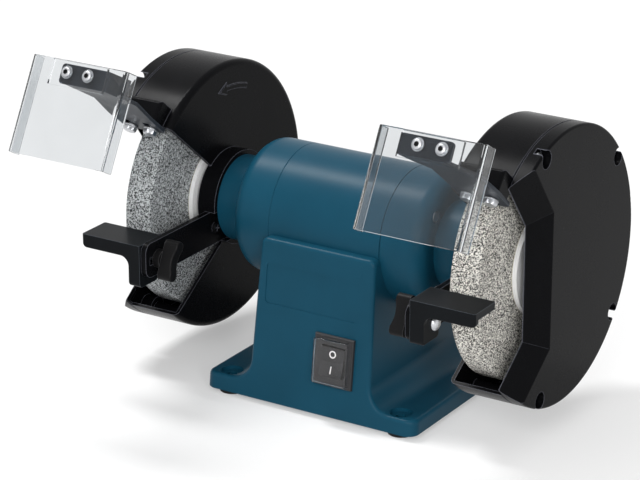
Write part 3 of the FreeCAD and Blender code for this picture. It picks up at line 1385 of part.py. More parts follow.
def make_switch():
    frame = new_body("switch_frame")
    pad(frame, draw_outline(sketch_on(frame, "XZ_Plane"), centred(d.switch_width, d.switch_height)),
        d.switch_bezel)
    pad(frame, draw_outline(sketch_on(frame, "XZ_Plane"), centred(d.switch_body_width, d.switch_body_height)),
        d.switch_body_depth, True)
    well = sketch_on(frame, "XZ_Plane", lift=d.switch_bezel)
    pocket(frame, draw_outline(well, centred(d.switch_well_width, d.switch_well_height)), d.switch_well_depth)
    round_edges(frame, d.switch_bezel / 3, lambda edge: near(edge.CenterOfMass.y, -d.switch_bezel, 0.01)
                and (near(abs(edge.CenterOfMass.x), d.switch_width / 2, 0.01)
                     or near(abs(edge.CenterOfMass.z), d.switch_height / 2, 0.01)))
    socket_reach = d.switch_well_width / 2 + d.rocker_pin_length + d.flat_clearance
    socket = sketch_on(frame, "YZ_Plane", lift=-socket_reach)
    draw_circle(socket, -d.rocker_pin_out, 0, d.rocker_pin_radius + d.running_clearance)
    pocket(frame, socket, 2 * socket_reach, True)
    on_front_face(frame)
    keep(frame, "switch_frame")

    rocker = new_body("switch_rocker")
    half = d.switch_well_height / 2 - d.rocker_rise / 2
    pivot_depth = d.switch_well_depth - d.switch_bezel - d.rocker_rise
    low_tip = -d.switch_bezel - d.flat_clearance
    high_tip = low_tip - 2 * half * tangent(d.rocker_half_angle)
    width = d.switch_well_width - 2 * d.slide_clearance
    side_view = [(pivot_depth, 0), (0, half), (low_tip, half), ((low_tip + high_tip) / 2 + 1.0, 0),
                 (high_tip, -half), (0, -half)]
    sketch = sketch_on(rocker, "YZ_Plane", lift=-width / 2)
    pad(rocker, draw_outline(sketch, side_view), width)
    pin_reach = d.switch_well_width / 2 + d.rocker_pin_length
    pins = sketch_on(rocker, "YZ_Plane", lift=-pin_reach)
    pad(rocker, draw_circle(pins, -d.rocker_pin_out, 0, d.rocker_pin_radius), 2 * pin_reach)
    on_front_face(rocker)
    keep(rocker, "switch_rocker")

    cover = new_body("switch_dust_cover")
    rim = sketch_on(cover, "XZ_Plane", lift=d.switch_bezel)
    pad(cover, draw_outline(rim, centred(d.dust_cover_width, d.dust_cover_height)), d.dust_cover_rise)
    inner = sketch_on(cover, "XZ_Plane", lift=d.switch_bezel + d.dust_cover_rise - d.dust_cover_wall)
    hollow = centred(d.dust_cover_width - 2 * d.dust_cover_wall, d.dust_cover_height - 2 * d.dust_cover_wall)
    pocket(cover, draw_outline(inner, hollow), d.dust_cover_rise - d.dust_cover_wall)
    round_edges(cover, d.dust_cover_wall, lambda edge: near(edge.CenterOfMass.y,
                -d.switch_bezel - d.dust_cover_rise, 0.01))
    on_front_face(cover)
    keep(cover, "switch_dust_cover")


def make_cord_gland():
    body = new_body("cord_gland")
    pad(body, draw_circle(sketch_on(body, "XZ_Plane"), 0, 0, d.gland_flange_radius),
        d.gland_flange_thickness, True)
    pad(body, draw_circle(sketch_on(body, "XZ_Plane"), 0, 0, d.gland_neck_radius), d.switch_body_depth / 2)
    bore = sketch_on(body, "XZ_Plane", lift=d.switch_body_depth / 2)
    draw_circle(bore, 0, 0, d.gland_bore_radius)
    pocket(body, bore, d.switch_body_depth / 2 + d.gland_flange_thickness)
    round_edges(body, d.gland_flange_thickness / 3,
                lambda edge: near(edge.BoundBox.YMin, d.gland_flange_thickness)
                and near(edge.BoundBox.XMax, d.gland_flange_radius))
    place(body, 0, -face_y(d.gland_height), d.gland_height, AXIS_X, face_angle)
    keep(body, "cord_gland")


# Electrical pieces that stand on the closing plate

def make_electrics():
    floor = d.foot_height + d.closing_plate_thickness
    centre_z = floor + d.clip_thickness + d.capacitor_radius + d.press_clearance
    half = d.capacitor_length / 2
    can = new_body("run_capacitor")
    revolve(can, draw_outline(sketch_on(can, "XY_Plane"), rectangle(-half, half, 0, d.capacitor_radius)))
    round_edges(can, d.capacitor_radius / 8, lambda edge: near(abs(edge.BoundBox.XMin), half)
                and edge.BoundBox.XLength < 0.01)
    place(can, y=d.capacitor_y, z=centre_z)
    keep(can, "run_capacitor")
    clip = new_body("capacitor_clip")
    inner = d.capacitor_radius + d.press_clearance
    band = ring_profile(-d.clip_width / 2, d.clip_width / 2, inner, inner + d.clip_thickness)
    revolve(clip, draw_outline(sketch_on(clip, "XY_Plane"), band))
    place(clip, y=d.capacitor_y, z=centre_z)
    keep(clip, "capacitor_clip")
    block = new_body("terminal_block")
    base = draw_outline(sketch_on(block, "XY_Plane", lift=floor), centred(d.terminal_width, d.terminal_depth))
    pad(block, base, d.terminal_height)
    ways = sketch_on(block, "XY_Plane", lift=floor + d.terminal_height / 2)
    for index in range(4):
        x = d.terminal_width * (index - 1.5) / 4
        draw_circle(ways, x, 0, d.terminal_width / 16)
    pocket(block, ways, d.terminal_height, True)
    place(block, y=d.terminal_y)
    keep(block, "terminal_block")


make_motor_housing()
make_closing_plate()
make_feet()
make_end_shields()
make_motor()
make_shaft()
make_bearing(1, right_bearing_outer_face)
make_bearing(-1, left_bearing_outer_face)
make_wave_washer()
make_wheel_set()
make_guard_drum()
make_guard_cover()
make_guard_fasteners()
make_lens()
make_lens_screws()
make_bracket()
make_clamp_bolts()
make_support_arm()
make_tool_rests()
make_rest_clamps()
make_switch()
make_cord_gland()
make_electrics()
doc.recompute()

faults = []
for thing in doc.Objects:
    if "Invalid" in thing.State or "Error" in thing.State:
        faults.append("%s: %s" % (thing.Label, thing.State))
for label, thing in pieces.items():
    if thing.Shape.isNull() or not thing.Shape.isValid():
        faults.append("%s has no valid shape" % label)
if faults:
    raise RuntimeError("; ".join(faults))

os.makedirs("parts", exist_ok=True)
for label, thing in pieces.items():
    thing.Shape.exportStep("parts/%s.step" % label)
print("wrote %d sub-parts" % len(pieces))
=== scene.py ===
"""Looks of a double-ended bench grinder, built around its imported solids.

All lengths are metres. +Z is up, +X runs along the shaft to the operator's right, and -Y points to the
operator.
"""

from __future__ import annotations

import json
import logging
import math
from collections.abc import Callable, Iterable, Sequence
from dataclasses import dataclass
from enum import Enum
from functools import cache
from typing import Any

import bmesh
import bpy
from mathutils import Matrix, Vector, noise


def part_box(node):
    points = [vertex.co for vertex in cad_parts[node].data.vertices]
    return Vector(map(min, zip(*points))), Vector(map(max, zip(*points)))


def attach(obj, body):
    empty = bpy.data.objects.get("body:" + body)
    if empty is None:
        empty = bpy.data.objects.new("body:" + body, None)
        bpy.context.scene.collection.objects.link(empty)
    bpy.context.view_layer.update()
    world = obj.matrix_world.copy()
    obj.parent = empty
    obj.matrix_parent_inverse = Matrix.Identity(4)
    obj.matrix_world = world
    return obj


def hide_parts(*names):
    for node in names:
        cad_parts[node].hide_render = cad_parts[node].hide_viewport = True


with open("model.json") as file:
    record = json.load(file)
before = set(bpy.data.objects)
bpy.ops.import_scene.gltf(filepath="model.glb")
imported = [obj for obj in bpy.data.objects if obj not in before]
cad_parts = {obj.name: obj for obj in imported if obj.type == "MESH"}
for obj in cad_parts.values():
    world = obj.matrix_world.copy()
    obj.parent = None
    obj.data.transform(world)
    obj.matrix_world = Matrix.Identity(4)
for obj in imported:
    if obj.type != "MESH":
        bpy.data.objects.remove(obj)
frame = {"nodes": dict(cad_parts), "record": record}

log = logging.getLogger("bench_grinder")

Colour = tuple[float, float, float]
Place = tuple[float, float, float]
Group = bpy.types.NodeTree
Object = bpy.types.Object
Socket = bpy.types.NodeSocket
Pattern = tuple[Socket, Socket, Socket]

MM = 0.001
SEED = 7
SIDES = ("left", "right")
ACROSS = Vector((1.0, 0.0, 0.0))
WHITE = (1.0, 1.0, 1.0)
SHARP_ANGLE = 0.6
MERGE_DISTANCE = 1e-6
# Distance between the bands of a wave texture at a scale of 1
BAND_PERIOD = 0.314
# Numbers of the colour sockets of a mix node
MIX_SHARE, MIX_LOW, MIX_HIGH, MIX_RESULT = 0, 6, 7, 2
# A face lies flat along an axis when its normal has at least this share along it
FLAT_SHARE = 0.999


class Tree:
    """A node tree with short calls for adding, setting and linking nodes."""

    def __init__(self, tree: Group) -> None:
        """Wraps a shader or geometry node tree."""
        self.tree = tree

    def wire(self, node: bpy.types.Node, inputs: dict[str | int, Any]) -> None:
        """Sets or links a node's inputs.

        Args:
            node: The node.
            inputs: Name or number of each input with its value or the output socket that feeds it.
        """
        for key, value in inputs.items():
            named = (socket for socket in node.inputs if socket.name == key and socket.enabled)
            socket = node.inputs[key] if isinstance(key, int) else next(named)
            if isinstance(value, Socket):
                self.tree.links.new(value, socket)
            else:
                socket.default_value = (*value, 1.0) if socket.type == "RGBA" else value

    def add(self, kind: str, inputs: dict[str | int, Any] | None = None, **settings: Any) -> bpy.types.Node:
        """Adds a node.

        Args:
            kind: The node's type name.
            inputs: Its inputs, as in wire.
            settings: Attributes of the node itself.

        Returns:
            The new node.
        """
        node = self.tree.nodes.new(kind)
        for name, value in settings.items():
            setattr(node, name, value)
        self.wire(node, inputs or {})
        return node

    def math(self, operation: str, *terms: Any) -> Socket:
        """Gives the result of an operation on numbers or output sockets."""
        return self.add("ShaderNodeMath", dict(enumerate(terms)), operation=operation).outputs[0]

    def between(self, value: Socket, low: float, high: float, from_low: float = 0.0,
                from_high: float = 1.0) -> Socket:
        """Maps the range from from_low to from_high onto low to high, and keeps the value inside."""
        limits = {"From Min": from_low, "From Max": from_high, "To Min": low, "To Max": high}
        return self.add("ShaderNodeMapRange", {"Value": value} | limits).outputs["Result"]

    def blend(self, factor: Socket, low: Any, high: Any) -> Socket:
        """Mixes two colours or colour sockets by the share of the second one."""
        inputs = {MIX_SHARE: factor, MIX_LOW: low, MIX_HIGH: high}
        return self.add("ShaderNodeMix", inputs, data_type="RGBA").outputs[MIX_RESULT]

    def place(self) -> Socket:
        """Gives the object coordinates."""
        return self.add("ShaderNodeTexCoord").outputs["Object"]

    def scaled(self, size: Socket) -> dict[str, Socket]:
        """Gives the place and scale of a texture for features of a size."""
        return {"Vector": self.place(), "Scale": self.math("DIVIDE", 1.0, size)}

    def effect(self, group: Group, length: float) -> Any:
        """Gives the outputs of a shared effect for a length in metres, its first input."""
        return self.add("ShaderNodeGroup", {0: length}, node_tree=group).outputs


class Effects:
    """Node groups that several finishes share. Each puts out values that vary over the surface."""

    @staticmethod
    def start(name: str, inputs: dict[str, float], outputs: Iterable[str]) -> tuple[Tree, Any, Any]:
        """Opens a new shader group.

        Args:
            name: Name of the group.
            inputs: Names of the inputs in metres with their default values.
            outputs: Names of the number outputs.

        Returns:
            The group's tree, the values given to it and its output node.
        """
        group = bpy.data.node_groups.new(name, "ShaderNodeTree")
        for label, value in inputs.items():
            socket = group.interface.new_socket(label, in_out="INPUT", socket_type="NodeSocketFloat")
            socket.default_value = value
        for label in outputs:
            group.interface.new_socket(label, in_out="OUTPUT", socket_type="NodeSocketFloat")
        tree = Tree(group)
        return tree, tree.add("NodeGroupInput").outputs, tree.add("NodeGroupOutput")

    @staticmethod
    @cache
    def mottle() -> Group:
        """Broad, soft unevenness.

        Returns:
            The group, with a Size input and a Value output.
        """
        tree, given, result = Effects.start("soft_mottle", {"Size": 40 * MM}, ["Value"])
        inputs = tree.scaled(given["Size"]) | {"Detail": 3.0, "Roughness": 0.55}
        cloud = tree.add("ShaderNodeTexNoise", inputs).outputs["Fac"]
        tree.wire(result, {"Value": tree.between(cloud, 0.0, 1.0, 0.3, 0.7)})
        return tree.tree

    @staticmethod
    @cache
    def grain() -> Group:
        """Fine surface texture, such as the peel of a paint or the grain of a moulding.

        Returns:
            The group, with a Size input, a Height output and a Speck output.
        """
        tree, given, result = Effects.start("fine_grain", {"Size": 1 * MM}, ["Height", "Speck"])
        scaled = tree.scaled(given["Size"])
        bumps = tree.add("ShaderNodeTexNoise", scaled | {"Detail": 2.0}).outputs["Fac"]
        cells = tree.add("ShaderNodeTexVoronoi", scaled).outputs["Distance"]
        tree.wire(result, {"Height": tree.math("ADD", tree.math("MULTIPLY", cells, 0.5), bumps),
                           "Speck": tree.between(bumps, 0.0, 1.0, 0.55, 0.75)})
        return tree.tree

    @staticmethod
    @cache
    def grit() -> Group:
        """Bonded grains with open pores between them.

        Returns:
            The group, with a Size input and Tone, Pore and Height outputs.
        """
        tree, given, result = Effects.start("bonded_grit", {"Size": 1 * MM}, ["Tone", "Pore", "Height"])
        cells = tree.add("ShaderNodeTexVoronoi", tree.scaled(given["Size"])).outputs
        tone, chance, _ = tree.add("ShaderNodeSeparateColor", {"Color": cells["Color"]}).outputs
        pore = tree.between(chance, 1.0, 0.0, 0.2, 0.3)
        dome = tree.between(cells["Distance"], 1.0, 0.0, 0.0, 0.7)
        tree.wire(result, {"Tone": tone, "Pore": pore, "Height": tree.math("SUBTRACT", dome, pore)})
        return tree.tree

    @staticmethod
    @cache
    def rim() -> Group:
        """Where a surface turns round a sharp edge, as the mask of a painted highlight along the edge.

        Returns:
            The group, with a Radius input and a Value output.
        """
        tree, given, result = Effects.start("rubbed_rim", {"Radius": 0.6 * MM}, ["Value"])
        rounded = tree.add("ShaderNodeBevel", {"Radius": given["Radius"]}, samples=6)
        flat = tree.add("ShaderNodeNewGeometry")
        normals = {0: rounded.outputs["Normal"], 1: flat.outputs["Normal"]}
        likeness = tree.add("ShaderNodeVectorMath", normals, operation="DOT_PRODUCT")
        tree.wire(result, {"Value": tree.between(likeness.outputs["Value"], 1.0, 0.0, 0.92, 0.995)})
        return tree.tree

    @staticmethod
    @cache
    def turning() -> Group:
        """Tool marks left by turning about the shaft's line.

        Returns:
            The group, with Pitch and Axis Height inputs and a Value output.
        """
        lengths = {"Pitch": 0.6 * MM, "Axis Height": 145 * MM}
        tree, given, result = Effects.start("turned_rings", lengths, ["Value"])
        parts = tree.add("ShaderNodeSeparateXYZ", {"Vector": tree.place()}).outputs
        above = tree.math("SUBTRACT", parts["Z"], given["Axis Height"])
        squares = tree.math("ADD", tree.math("POWER", parts["Y"], 2.0), tree.math("POWER", above, 2.0))
        path = tree.math("ADD", tree.math("SQRT", squares), parts["X"])
        turns = tree.math("MULTIPLY", path, tree.math("DIVIDE", 1.0, given["Pitch"]))
        rings = tree.add("ShaderNodeTexNoise", {"W": turns, "Scale": 1.0, "Detail": 2.0},
                         noise_dimensions="1D")
        tree.wire(result, {"Value": rings.outputs["Fac"]})
        return tree.tree


@dataclass(frozen=True)
class Finish:
    """A procedural surface: an uneven colour with fine texture in its gloss and its relief.

    Sharp edges can carry a painted highlight, and drive recesses can be painted dark as grease and painted
    shade.
    """

    name: str
    colour: Colour
    roughness: float
    spread: float
    uneven: float
    metallic: float = 0.0
    specular: float = 0.5
    grain: float = 0.9 * MM
    relief: float = 0.012 * MM
    mottle: float = 45 * MM
    # Radius and gain of the painted highlight: colour painted lighter along sharp edges
    edge: float = 0.0
    edge_highlight_gain: float = 12.0
    # Colour painted into drive recesses, standing for grease and painted shade
    grease_and_shade: Colour | None = None
    speck_contrast: float = 4.0
    broad_gloss: float = 0.5
    fine_gloss: float = 0.4

    def material(self) -> bpy.types.Material:
        """Gives the material of this finish, built at the first call.

        Returns:
            The material.
        """
        label = self.name + "_finish"
        found = bpy.data.materials.get(label)
        if found:
            return found
        made = bpy.data.materials.new(label)
        made.use_nodes = True
        made.diffuse_color = (*self.colour, 1.0)
        tree = Tree(made.node_tree)
        colour, gloss, height = self.pattern(tree)
        rough = tree.between(gloss, self.roughness - self.spread, self.roughness + self.spread)
        bump = tree.add("ShaderNodeBump", {"Height": height, "Distance": self.relief, "Strength": 1.0})
        varying = {"Base Color": colour, "Roughness": rough, "Normal": bump.outputs["Normal"]}
        tree.wire(made.node_tree.nodes["Principled BSDF"], varying | self.constants())
        return made

    def constants(self) -> dict[str, float]:
        """Gives the plain values of the shader."""
        return {"Metallic": self.metallic, "Specular IOR Level": self.specular}

    def tint(self, factor: float) -> Colour:
        """Gives the colour, lighter or darker by a factor."""
        return tuple(min(1.0, part * factor) for part in self.colour)

    def clouded(self, tree: Tree) -> tuple[Socket, Socket]:
        """Gives the broad unevenness, and the colour that follows it."""
        broad = tree.effect(Effects.mottle(), self.mottle)["Value"]
        return broad, tree.blend(broad, self.tint(1.0 - self.uneven), self.tint(1.0 + self.uneven))

    def pattern(self, tree: Tree) -> Pattern:
        """Adds what varies over the surface.

        Args:
            tree: The material's tree.

        Returns:
            The colour, the share of the roughness's spread, and the height of the relief.
        """
        broad, body = self.clouded(tree)
        fine = tree.effect(Effects.grain(), self.grain)
        speck = tree.math("MULTIPLY", fine["Speck"], self.uneven)
        colour = tree.blend(speck, body, self.tint(1.0 + self.speck_contrast * self.uneven))
        # Painted highlight: the colour is lightened along sharp edges by the gain
        if self.edge:
            rim = tree.effect(Effects.rim(), self.edge)["Value"]
            colour = tree.blend(rim, colour, self.tint(self.edge_highlight_gain))
        # Drive recesses are painted dark: partly grease, partly painted shade
        if self.grease_and_shade:
            recess = tree.add("ShaderNodeAttribute", attribute_name="recess").outputs["Fac"]
            colour = tree.blend(recess, colour, self.grease_and_shade)
        gloss = tree.math("ADD", tree.math("MULTIPLY", broad, self.broad_gloss),
                          tree.math("MULTIPLY", fine["Height"], self.fine_gloss))
        return colour, gloss, fine["Height"]


@dataclass(frozen=True)
class TurnedFinish(Finish):
    """Bare metal with the rings that turning leaves."""

    pitch: float = 0.5 * MM

    def pattern(self, tree: Tree) -> Pattern:
        """Adds what varies over the surface: a clouded colour under turned rings."""
        rings = tree.effect(Effects.turning(), self.pitch)["Value"]
        return self.clouded(tree)[1], tree.between(rings, 0.0, 1.0, 0.3, 0.7), rings


@dataclass(frozen=True)
class GritFinish(Finish):
    """Open bonded abrasive with pale grains, and pores painted near-black as painted shade."""

    # The dark colour is painted shade inside the open pores
    dark: Colour = (0.08, 0.08, 0.08)
    pale: Colour = (0.7, 0.7, 0.68)
    shade: float = 0.15
    tones: tuple[float, float] = (0.18, 0.42)

    def pattern(self, tree: Tree) -> Pattern:
        """Adds what varies over the surface.

        Args:
            tree: The material's tree.

        Returns:
            The colour, the share of the roughness's spread, and the height of the relief.
        """
        grit = tree.effect(Effects.grit(), self.grain)
        broad = tree.effect(Effects.mottle(), self.mottle)["Value"]
        bright = tree.between(grit["Tone"], 0.0, 1.0, *self.tones)
        stone = tree.blend(bright, self.tint(self.shade), self.pale)
        worn = tree.blend(tree.math("MULTIPLY", broad, self.uneven), stone, self.colour)
        # The pores take the dark colour: painted shade inside the open pores
        return tree.blend(grit["Pore"], worn, self.dark), grit["Tone"], grit["Height"]


@dataclass(frozen=True)
class ClearFinish(Finish):
    """Clear moulding with faint smears in its gloss."""

    bend: float = 1.15

    def constants(self) -> dict[str, float]:
        """Gives the plain values of the shader."""
        return super().constants() | {"Transmission Weight": 1.0, "IOR": self.bend}

    def pattern(self, tree: Tree) -> Pattern:
        """Adds what varies over the surface: a clouded colour and gloss over a fine grain."""
        broad, body = self.clouded(tree)
        return body, broad, tree.effect(Effects.grain(), self.grain)["Height"]


@dataclass(frozen=True)
class LayeredFinish(Finish):
    """Thin layers along one direction, such as stacked sheets or lacquered wire."""

    pitch: float = 0.6 * MM
    bands: str = "X"
    dark: Colour = (0.08, 0.08, 0.08)

    def pattern(self, tree: Tree) -> Pattern:
        """Adds what varies over the surface.

        Args:
            tree: The material's tree.

        Returns:
            The colour, the share of the roughness's spread, and the height of the relief.
        """
        wave = tree.add("ShaderNodeTexWave", {"Vector": tree.place(), "Scale": BAND_PERIOD / self.pitch,
                                              "Distortion": 0.6, "Detail": 1.0}, bands_direction=self.bands)
        layer = wave.outputs["Fac"]
        colour = tree.blend(layer, self.dark, self.clouded(tree)[1])
        return colour, tree.math("SUBTRACT", 1.0, layer), layer


# The edge settings paint a highlight along sharp edges; the zinc's recess colour is grease and painted shade
FINISHES: dict[str, Finish] = {finish.name: finish for finish in (
    Finish("body_paint", (0.0064, 0.058, 0.098), 0.34, 0.05, 0.06, specular=0.09),
    Finish("guard_paint", (0.0036, 0.0037, 0.0044), 0.26, 0.07, 0.12, specular=0.035, grain=1.1 * MM,
           relief=0.02 * MM, edge=0.7 * MM, edge_highlight_gain=36.0),
    Finish("rest_paint", (0.0062, 0.0072, 0.0085), 0.32, 0.08, 0.12, specular=0.05, grain=0.8 * MM,
           relief=0.02 * MM, edge=0.6 * MM),
    Finish("bracket_paint", (0.024, 0.029, 0.037), 0.4, 0.08, 0.1, specular=0.12, edge=0.4 * MM, edge_highlight_gain=4.0),
    GritFinish("coarse_abrasive", (0.22, 0.235, 0.24), 0.88, 0.08, 0.2, specular=0.15, grain=0.7 * MM,
               relief=0.3 * MM, dark=(0.012, 0.013, 0.014), pale=(0.66, 0.69, 0.70)),
    GritFinish("fine_abrasive", (0.36, 0.345, 0.31), 0.88, 0.08, 0.15, specular=0.15, grain=0.7 * MM,
               relief=0.25 * MM, dark=(0.012, 0.011, 0.009), pale=(1.0, 0.97, 0.90)),
    TurnedFinish("bright_steel", (0.60, 0.60, 0.61), 0.24, 0.08, 0.08, metallic=1.0, relief=0.006 * MM),
    Finish("zinc_steel", (0.52, 0.53, 0.55), 0.34, 0.1, 0.1, metallic=1.0, grain=0.5 * MM,
           relief=0.006 * MM, mottle=6 * MM, grease_and_shade=(0.02, 0.02, 0.02)),
    TurnedFinish("flange_metal", (0.97, 0.97, 0.97), 0.3, 0.1, 0.03, metallic=0.2, relief=0.012 * MM),
    LayeredFinish("core_steel", (0.26, 0.26, 0.27), 0.45, 0.1, 0.1, metallic=0.9, relief=0.05 * MM,
                  pitch=0.6 * MM, dark=(0.05, 0.05, 0.05)),
    LayeredFinish("copper_wire", (0.50, 0.20, 0.08), 0.34, 0.1, 0.15, metallic=0.8, relief=0.2 * MM,
                  pitch=0.9 * MM, bands="Y", dark=(0.10, 0.035, 0.015)),
    ClearFinish("clear_lens", (0.73, 0.75, 0.765), 0.02, 0.01, 0.02, grain=6 * MM, relief=0.002 * MM,
                mottle=30 * MM, bend=1.37),
    ClearFinish("clear_cover", (0.97, 0.97, 0.97), 0.03, 0.02, 0.02, grain=3 * MM, relief=0.002 * MM,
                mottle=12 * MM, bend=1.27),
    Finish("dark_plastic", (0.03, 0.03, 0.032), 0.42, 0.1, 0.1, specular=0.2, grain=0.6 * MM,
           relief=0.015 * MM),
    Finish("knob_plastic", (0.0060, 0.0059, 0.0063), 0.38, 0.1, 0.12, specular=0.09, grain=0.7 * MM,
           relief=0.02 * MM, edge=0.6 * MM),
    Finish("grey_plastic", (0.03, 0.03, 0.032), 0.42, 0.1, 0.1, specular=0.2, grain=0.6 * MM,
           relief=0.015 * MM),
    Finish("pale_plastic", (0.86, 0.86, 0.85), 0.42, 0.1, 0.06, grain=0.6 * MM, relief=0.012 * MM),
    Finish("black_rubber", (0.014, 0.014, 0.014), 0.75, 0.1, 0.15, specular=0.15, grain=0.5 * MM,
           relief=0.03 * MM),
    Finish("card", (0.60, 0.55, 0.42), 0.85, 0.08, 0.12, specular=0.2, grain=0.4 * MM, relief=0.03 * MM),
)}


class Form(Enum):
    """Outline of one ring of a turned shape."""

    ROUND = "round"
    HEX = "hex"
    CROSS = "cross"
    DOME = "dome"

    def reach(self, angle: float) -> float:
        """Gives the ring's radius at an angle, as a share of the radius across its corners.

        Args:
            angle: Angle round the ring in radians.

        Returns:
            The share.
        """
        if self is Form.HEX:
            return math.cos(math.pi / 6) / math.cos(angle % (math.pi / 3) - math.pi / 6)
        if self is Form.CROSS:
            arm_half_angle, web = 0.22, 0.3
            off_arm = abs((angle + math.pi / 4) % (math.pi / 2) - math.pi / 4)
            return 1.0 if off_arm < arm_half_angle else web
        return 1.0


@dataclass(frozen=True)
class Ring:
    """One ring of a turned shape: radius, height along its axis, outline and share of recess."""

    radius: float
    height: float
    form: Form = Form.ROUND
    recess: float = 0.0


# Heads in section: share of the head's radius, drop below the top in roundings, and outline
HEX_HEAD = ((1.0, 1.4, Form.HEX), (0.87, 0.2, Form.ROUND), (0.8, 0.0, Form.ROUND))
ROUND_HEAD = tuple((*step, Form.ROUND) for step in ((1.0, 2.2), (0.96, 1.2), (0.86, 0.4), (0.7, 0.0)))
DOME_ANGLES = (12, 30, 50, 70, 85)
# A drive's recess in section: share of its mouth, share of its depth, and share of recess
# The recess share is painted dark by the zinc finish, as grease and painted shade
DRIVE_RECESS = ((1.06, 0.0, 0.0), (1.0, 0.1, 1.0), (0.9, 1.0, 1.0))


def add_object(name: str, data: bpy.types.ID) -> Object:
    """Adds an object to the scene.

    Args:
        name: Name of the object.
        data: Its mesh, lamp or camera.

    Returns:
        The object.
    """
    made = bpy.data.objects.new(name, data)
    bpy.context.scene.collection.objects.link(made)
    return made


class MeshMaker:
    """Collects turned and drawn-out shapes into one mesh."""

    def __init__(self) -> None:
        """Starts with an empty mesh."""
        self.mesh = bmesh.new()
        self.recess = self.mesh.verts.layers.float.new("recess")

    def load(self, node: str) -> None:
        """Adds a copy of a node's solids, with the points merged that lie in one place."""
        self.mesh.from_mesh(frame["nodes"][node].data)
        bmesh.ops.remove_doubles(self.mesh, verts=self.mesh.verts, dist=MERGE_DISTANCE)

    def move(self, matrix: Matrix) -> None:
        """Moves all that was collected."""
        bmesh.ops.transform(self.mesh, matrix=matrix, verts=self.mesh.verts)

    def bridge(self, low: Sequence[bmesh.types.BMVert], high: Sequence[bmesh.types.BMVert]) -> None:
        """Joins two rows of points, each closed in a loop, with faces.

        Args:
            low: One row.
            high: The next row.
        """
        for step in range(len(low)):
            after = (step + 1) % len(low)
            self.mesh.faces.new((low[step], low[after], high[after], high[step]))

    def turn(self, rings: Sequence[Ring], count: int, closed: bool = False) -> None:
        """Adds a shape turned about the Z axis.

        Args:
            rings: Rings in order along the outline.
            count: Number of points around each ring.
            closed: True joins the last ring to the first; False closes both ends with a point.
        """
        rows = []
        for ring in rings:
            row = []
            for step in range(count):
                angle = 2 * math.pi * step / count
                reach = ring.radius * ring.form.reach(angle)
                point = (reach * math.cos(angle), reach * math.sin(angle), ring.height)
                row.append(self.mesh.verts.new(point))
                row[-1][self.recess] = ring.recess
            rows.append(row)
        pairs = list(zip(rows, rows[1:]))
        if closed:
            pairs.append((rows[-1], rows[0]))
        else:
            for row, ring in ((rows[0], rings[0]), (rows[-1], rings[-1])):
                pole = self.mesh.verts.new((0.0, 0.0, ring.height))
                pole[self.recess] = ring.recess
                for step in range(count):
                    self.mesh.faces.new((pole, row[step], row[(step + 1) % count]))
        for low, high in pairs:
            self.bridge(low, high)

    def emboss(self, outline: Sequence[Vector], rise: Vector, slope: float) -> None:
        """Adds a raised flat shape with sloped sides.

        Args:
            outline: Corners of the lower face in order.
            rise: From the lower to the upper face.
            slope: Width of the sloped sides.
        """
        low = [self.mesh.verts.new(point) for point in outline]
        top = self.mesh.faces.new(low)
        top.normal_update()
        if top.normal.dot(rise) < 0:
            top.normal_flip()
        bmesh.ops.inset_region(self.mesh, faces=[top], use_boundary=True, use_even_offset=True,
                               thickness=slope, depth=rise.length)
        self.mesh.faces.new(list(reversed(low)))

    def finish(self, name: str, smooth_angle: float = SHARP_ANGLE) -> Object:
        """Turns the collected shapes into an object.

        Args:
            name: Name of the object.
            smooth_angle: Edges sharper than this angle in radians stay sharp.

        Returns:
            The object, linked to the scene.
        """
        bmesh.ops.recalc_face_normals(self.mesh, faces=self.mesh.faces)
        data = bpy.data.meshes.new(name)
        self.mesh.to_mesh(data)
        self.mesh.free()
        data.shade_smooth()
        data.set_sharp_from_angle(angle=smooth_angle)
        return add_object(name, data)


def settle(made: Object, finish: str, body: str, replaced: Sequence[str] = ()) -> None:
    """Dresses a piece and ties it to the part.

    Args:
        made: The piece.
        finish: Name of its finish, which is also its slot in the record.
        body: The body that it rides on.
        replaced: Nodes that it stands for.
    """
    made.data.materials.clear()
    made.data.materials.append(FINISHES[finish].material())
    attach(made, body)
    if replaced:
        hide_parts(*replaced)
    log.info("%s: %d faces, rides on %s", made.name, len(made.data.polygons), body)


@dataclass
class Solid:
    """The points of one separate solid of a node."""

    points: list[Vector]

    def span(self, axis: Vector) -> tuple[float, float]:
        """Gives the lowest and highest place along a direction."""
        places = [point.dot(axis) for point in self.points]
        return min(places), max(places)

    def spans(self, turn: Matrix) -> list[tuple[float, float]]:
        """Gives the lowest and highest place along each column of a turn."""
        return [self.span(axis) for axis in turn.col]

    def centre_line(self, axis: Vector) -> Vector:
        """Gives the point of the middle line along a unit direction that has no height along it."""
        first = axis.orthogonal().normalized()
        return sum((side * (sum(self.span(side)) / 2) for side in (first, axis.cross(first))), Vector())

    @staticmethod
    def all_of(node: str) -> list[Solid]:
        """Splits a node into its separate solids, in the order of their first points.

        Args:
            node: Name of the node.

        Returns:
            One entry for each solid.
        """
        maker = MeshMaker()
        maker.load(node)
        seen = set()
        found = []
        for start in maker.mesh.verts:
            if start in seen:
                continue
            seen.add(start)
            reached = [start]
            for vertex in reached:
                fresh = {edge.other_vert(vertex) for edge in vertex.link_edges} - seen
                seen |= fresh
                reached.extend(fresh)
            found.append(Solid([vertex.co.copy() for vertex in reached]))
        maker.mesh.free()
        return found


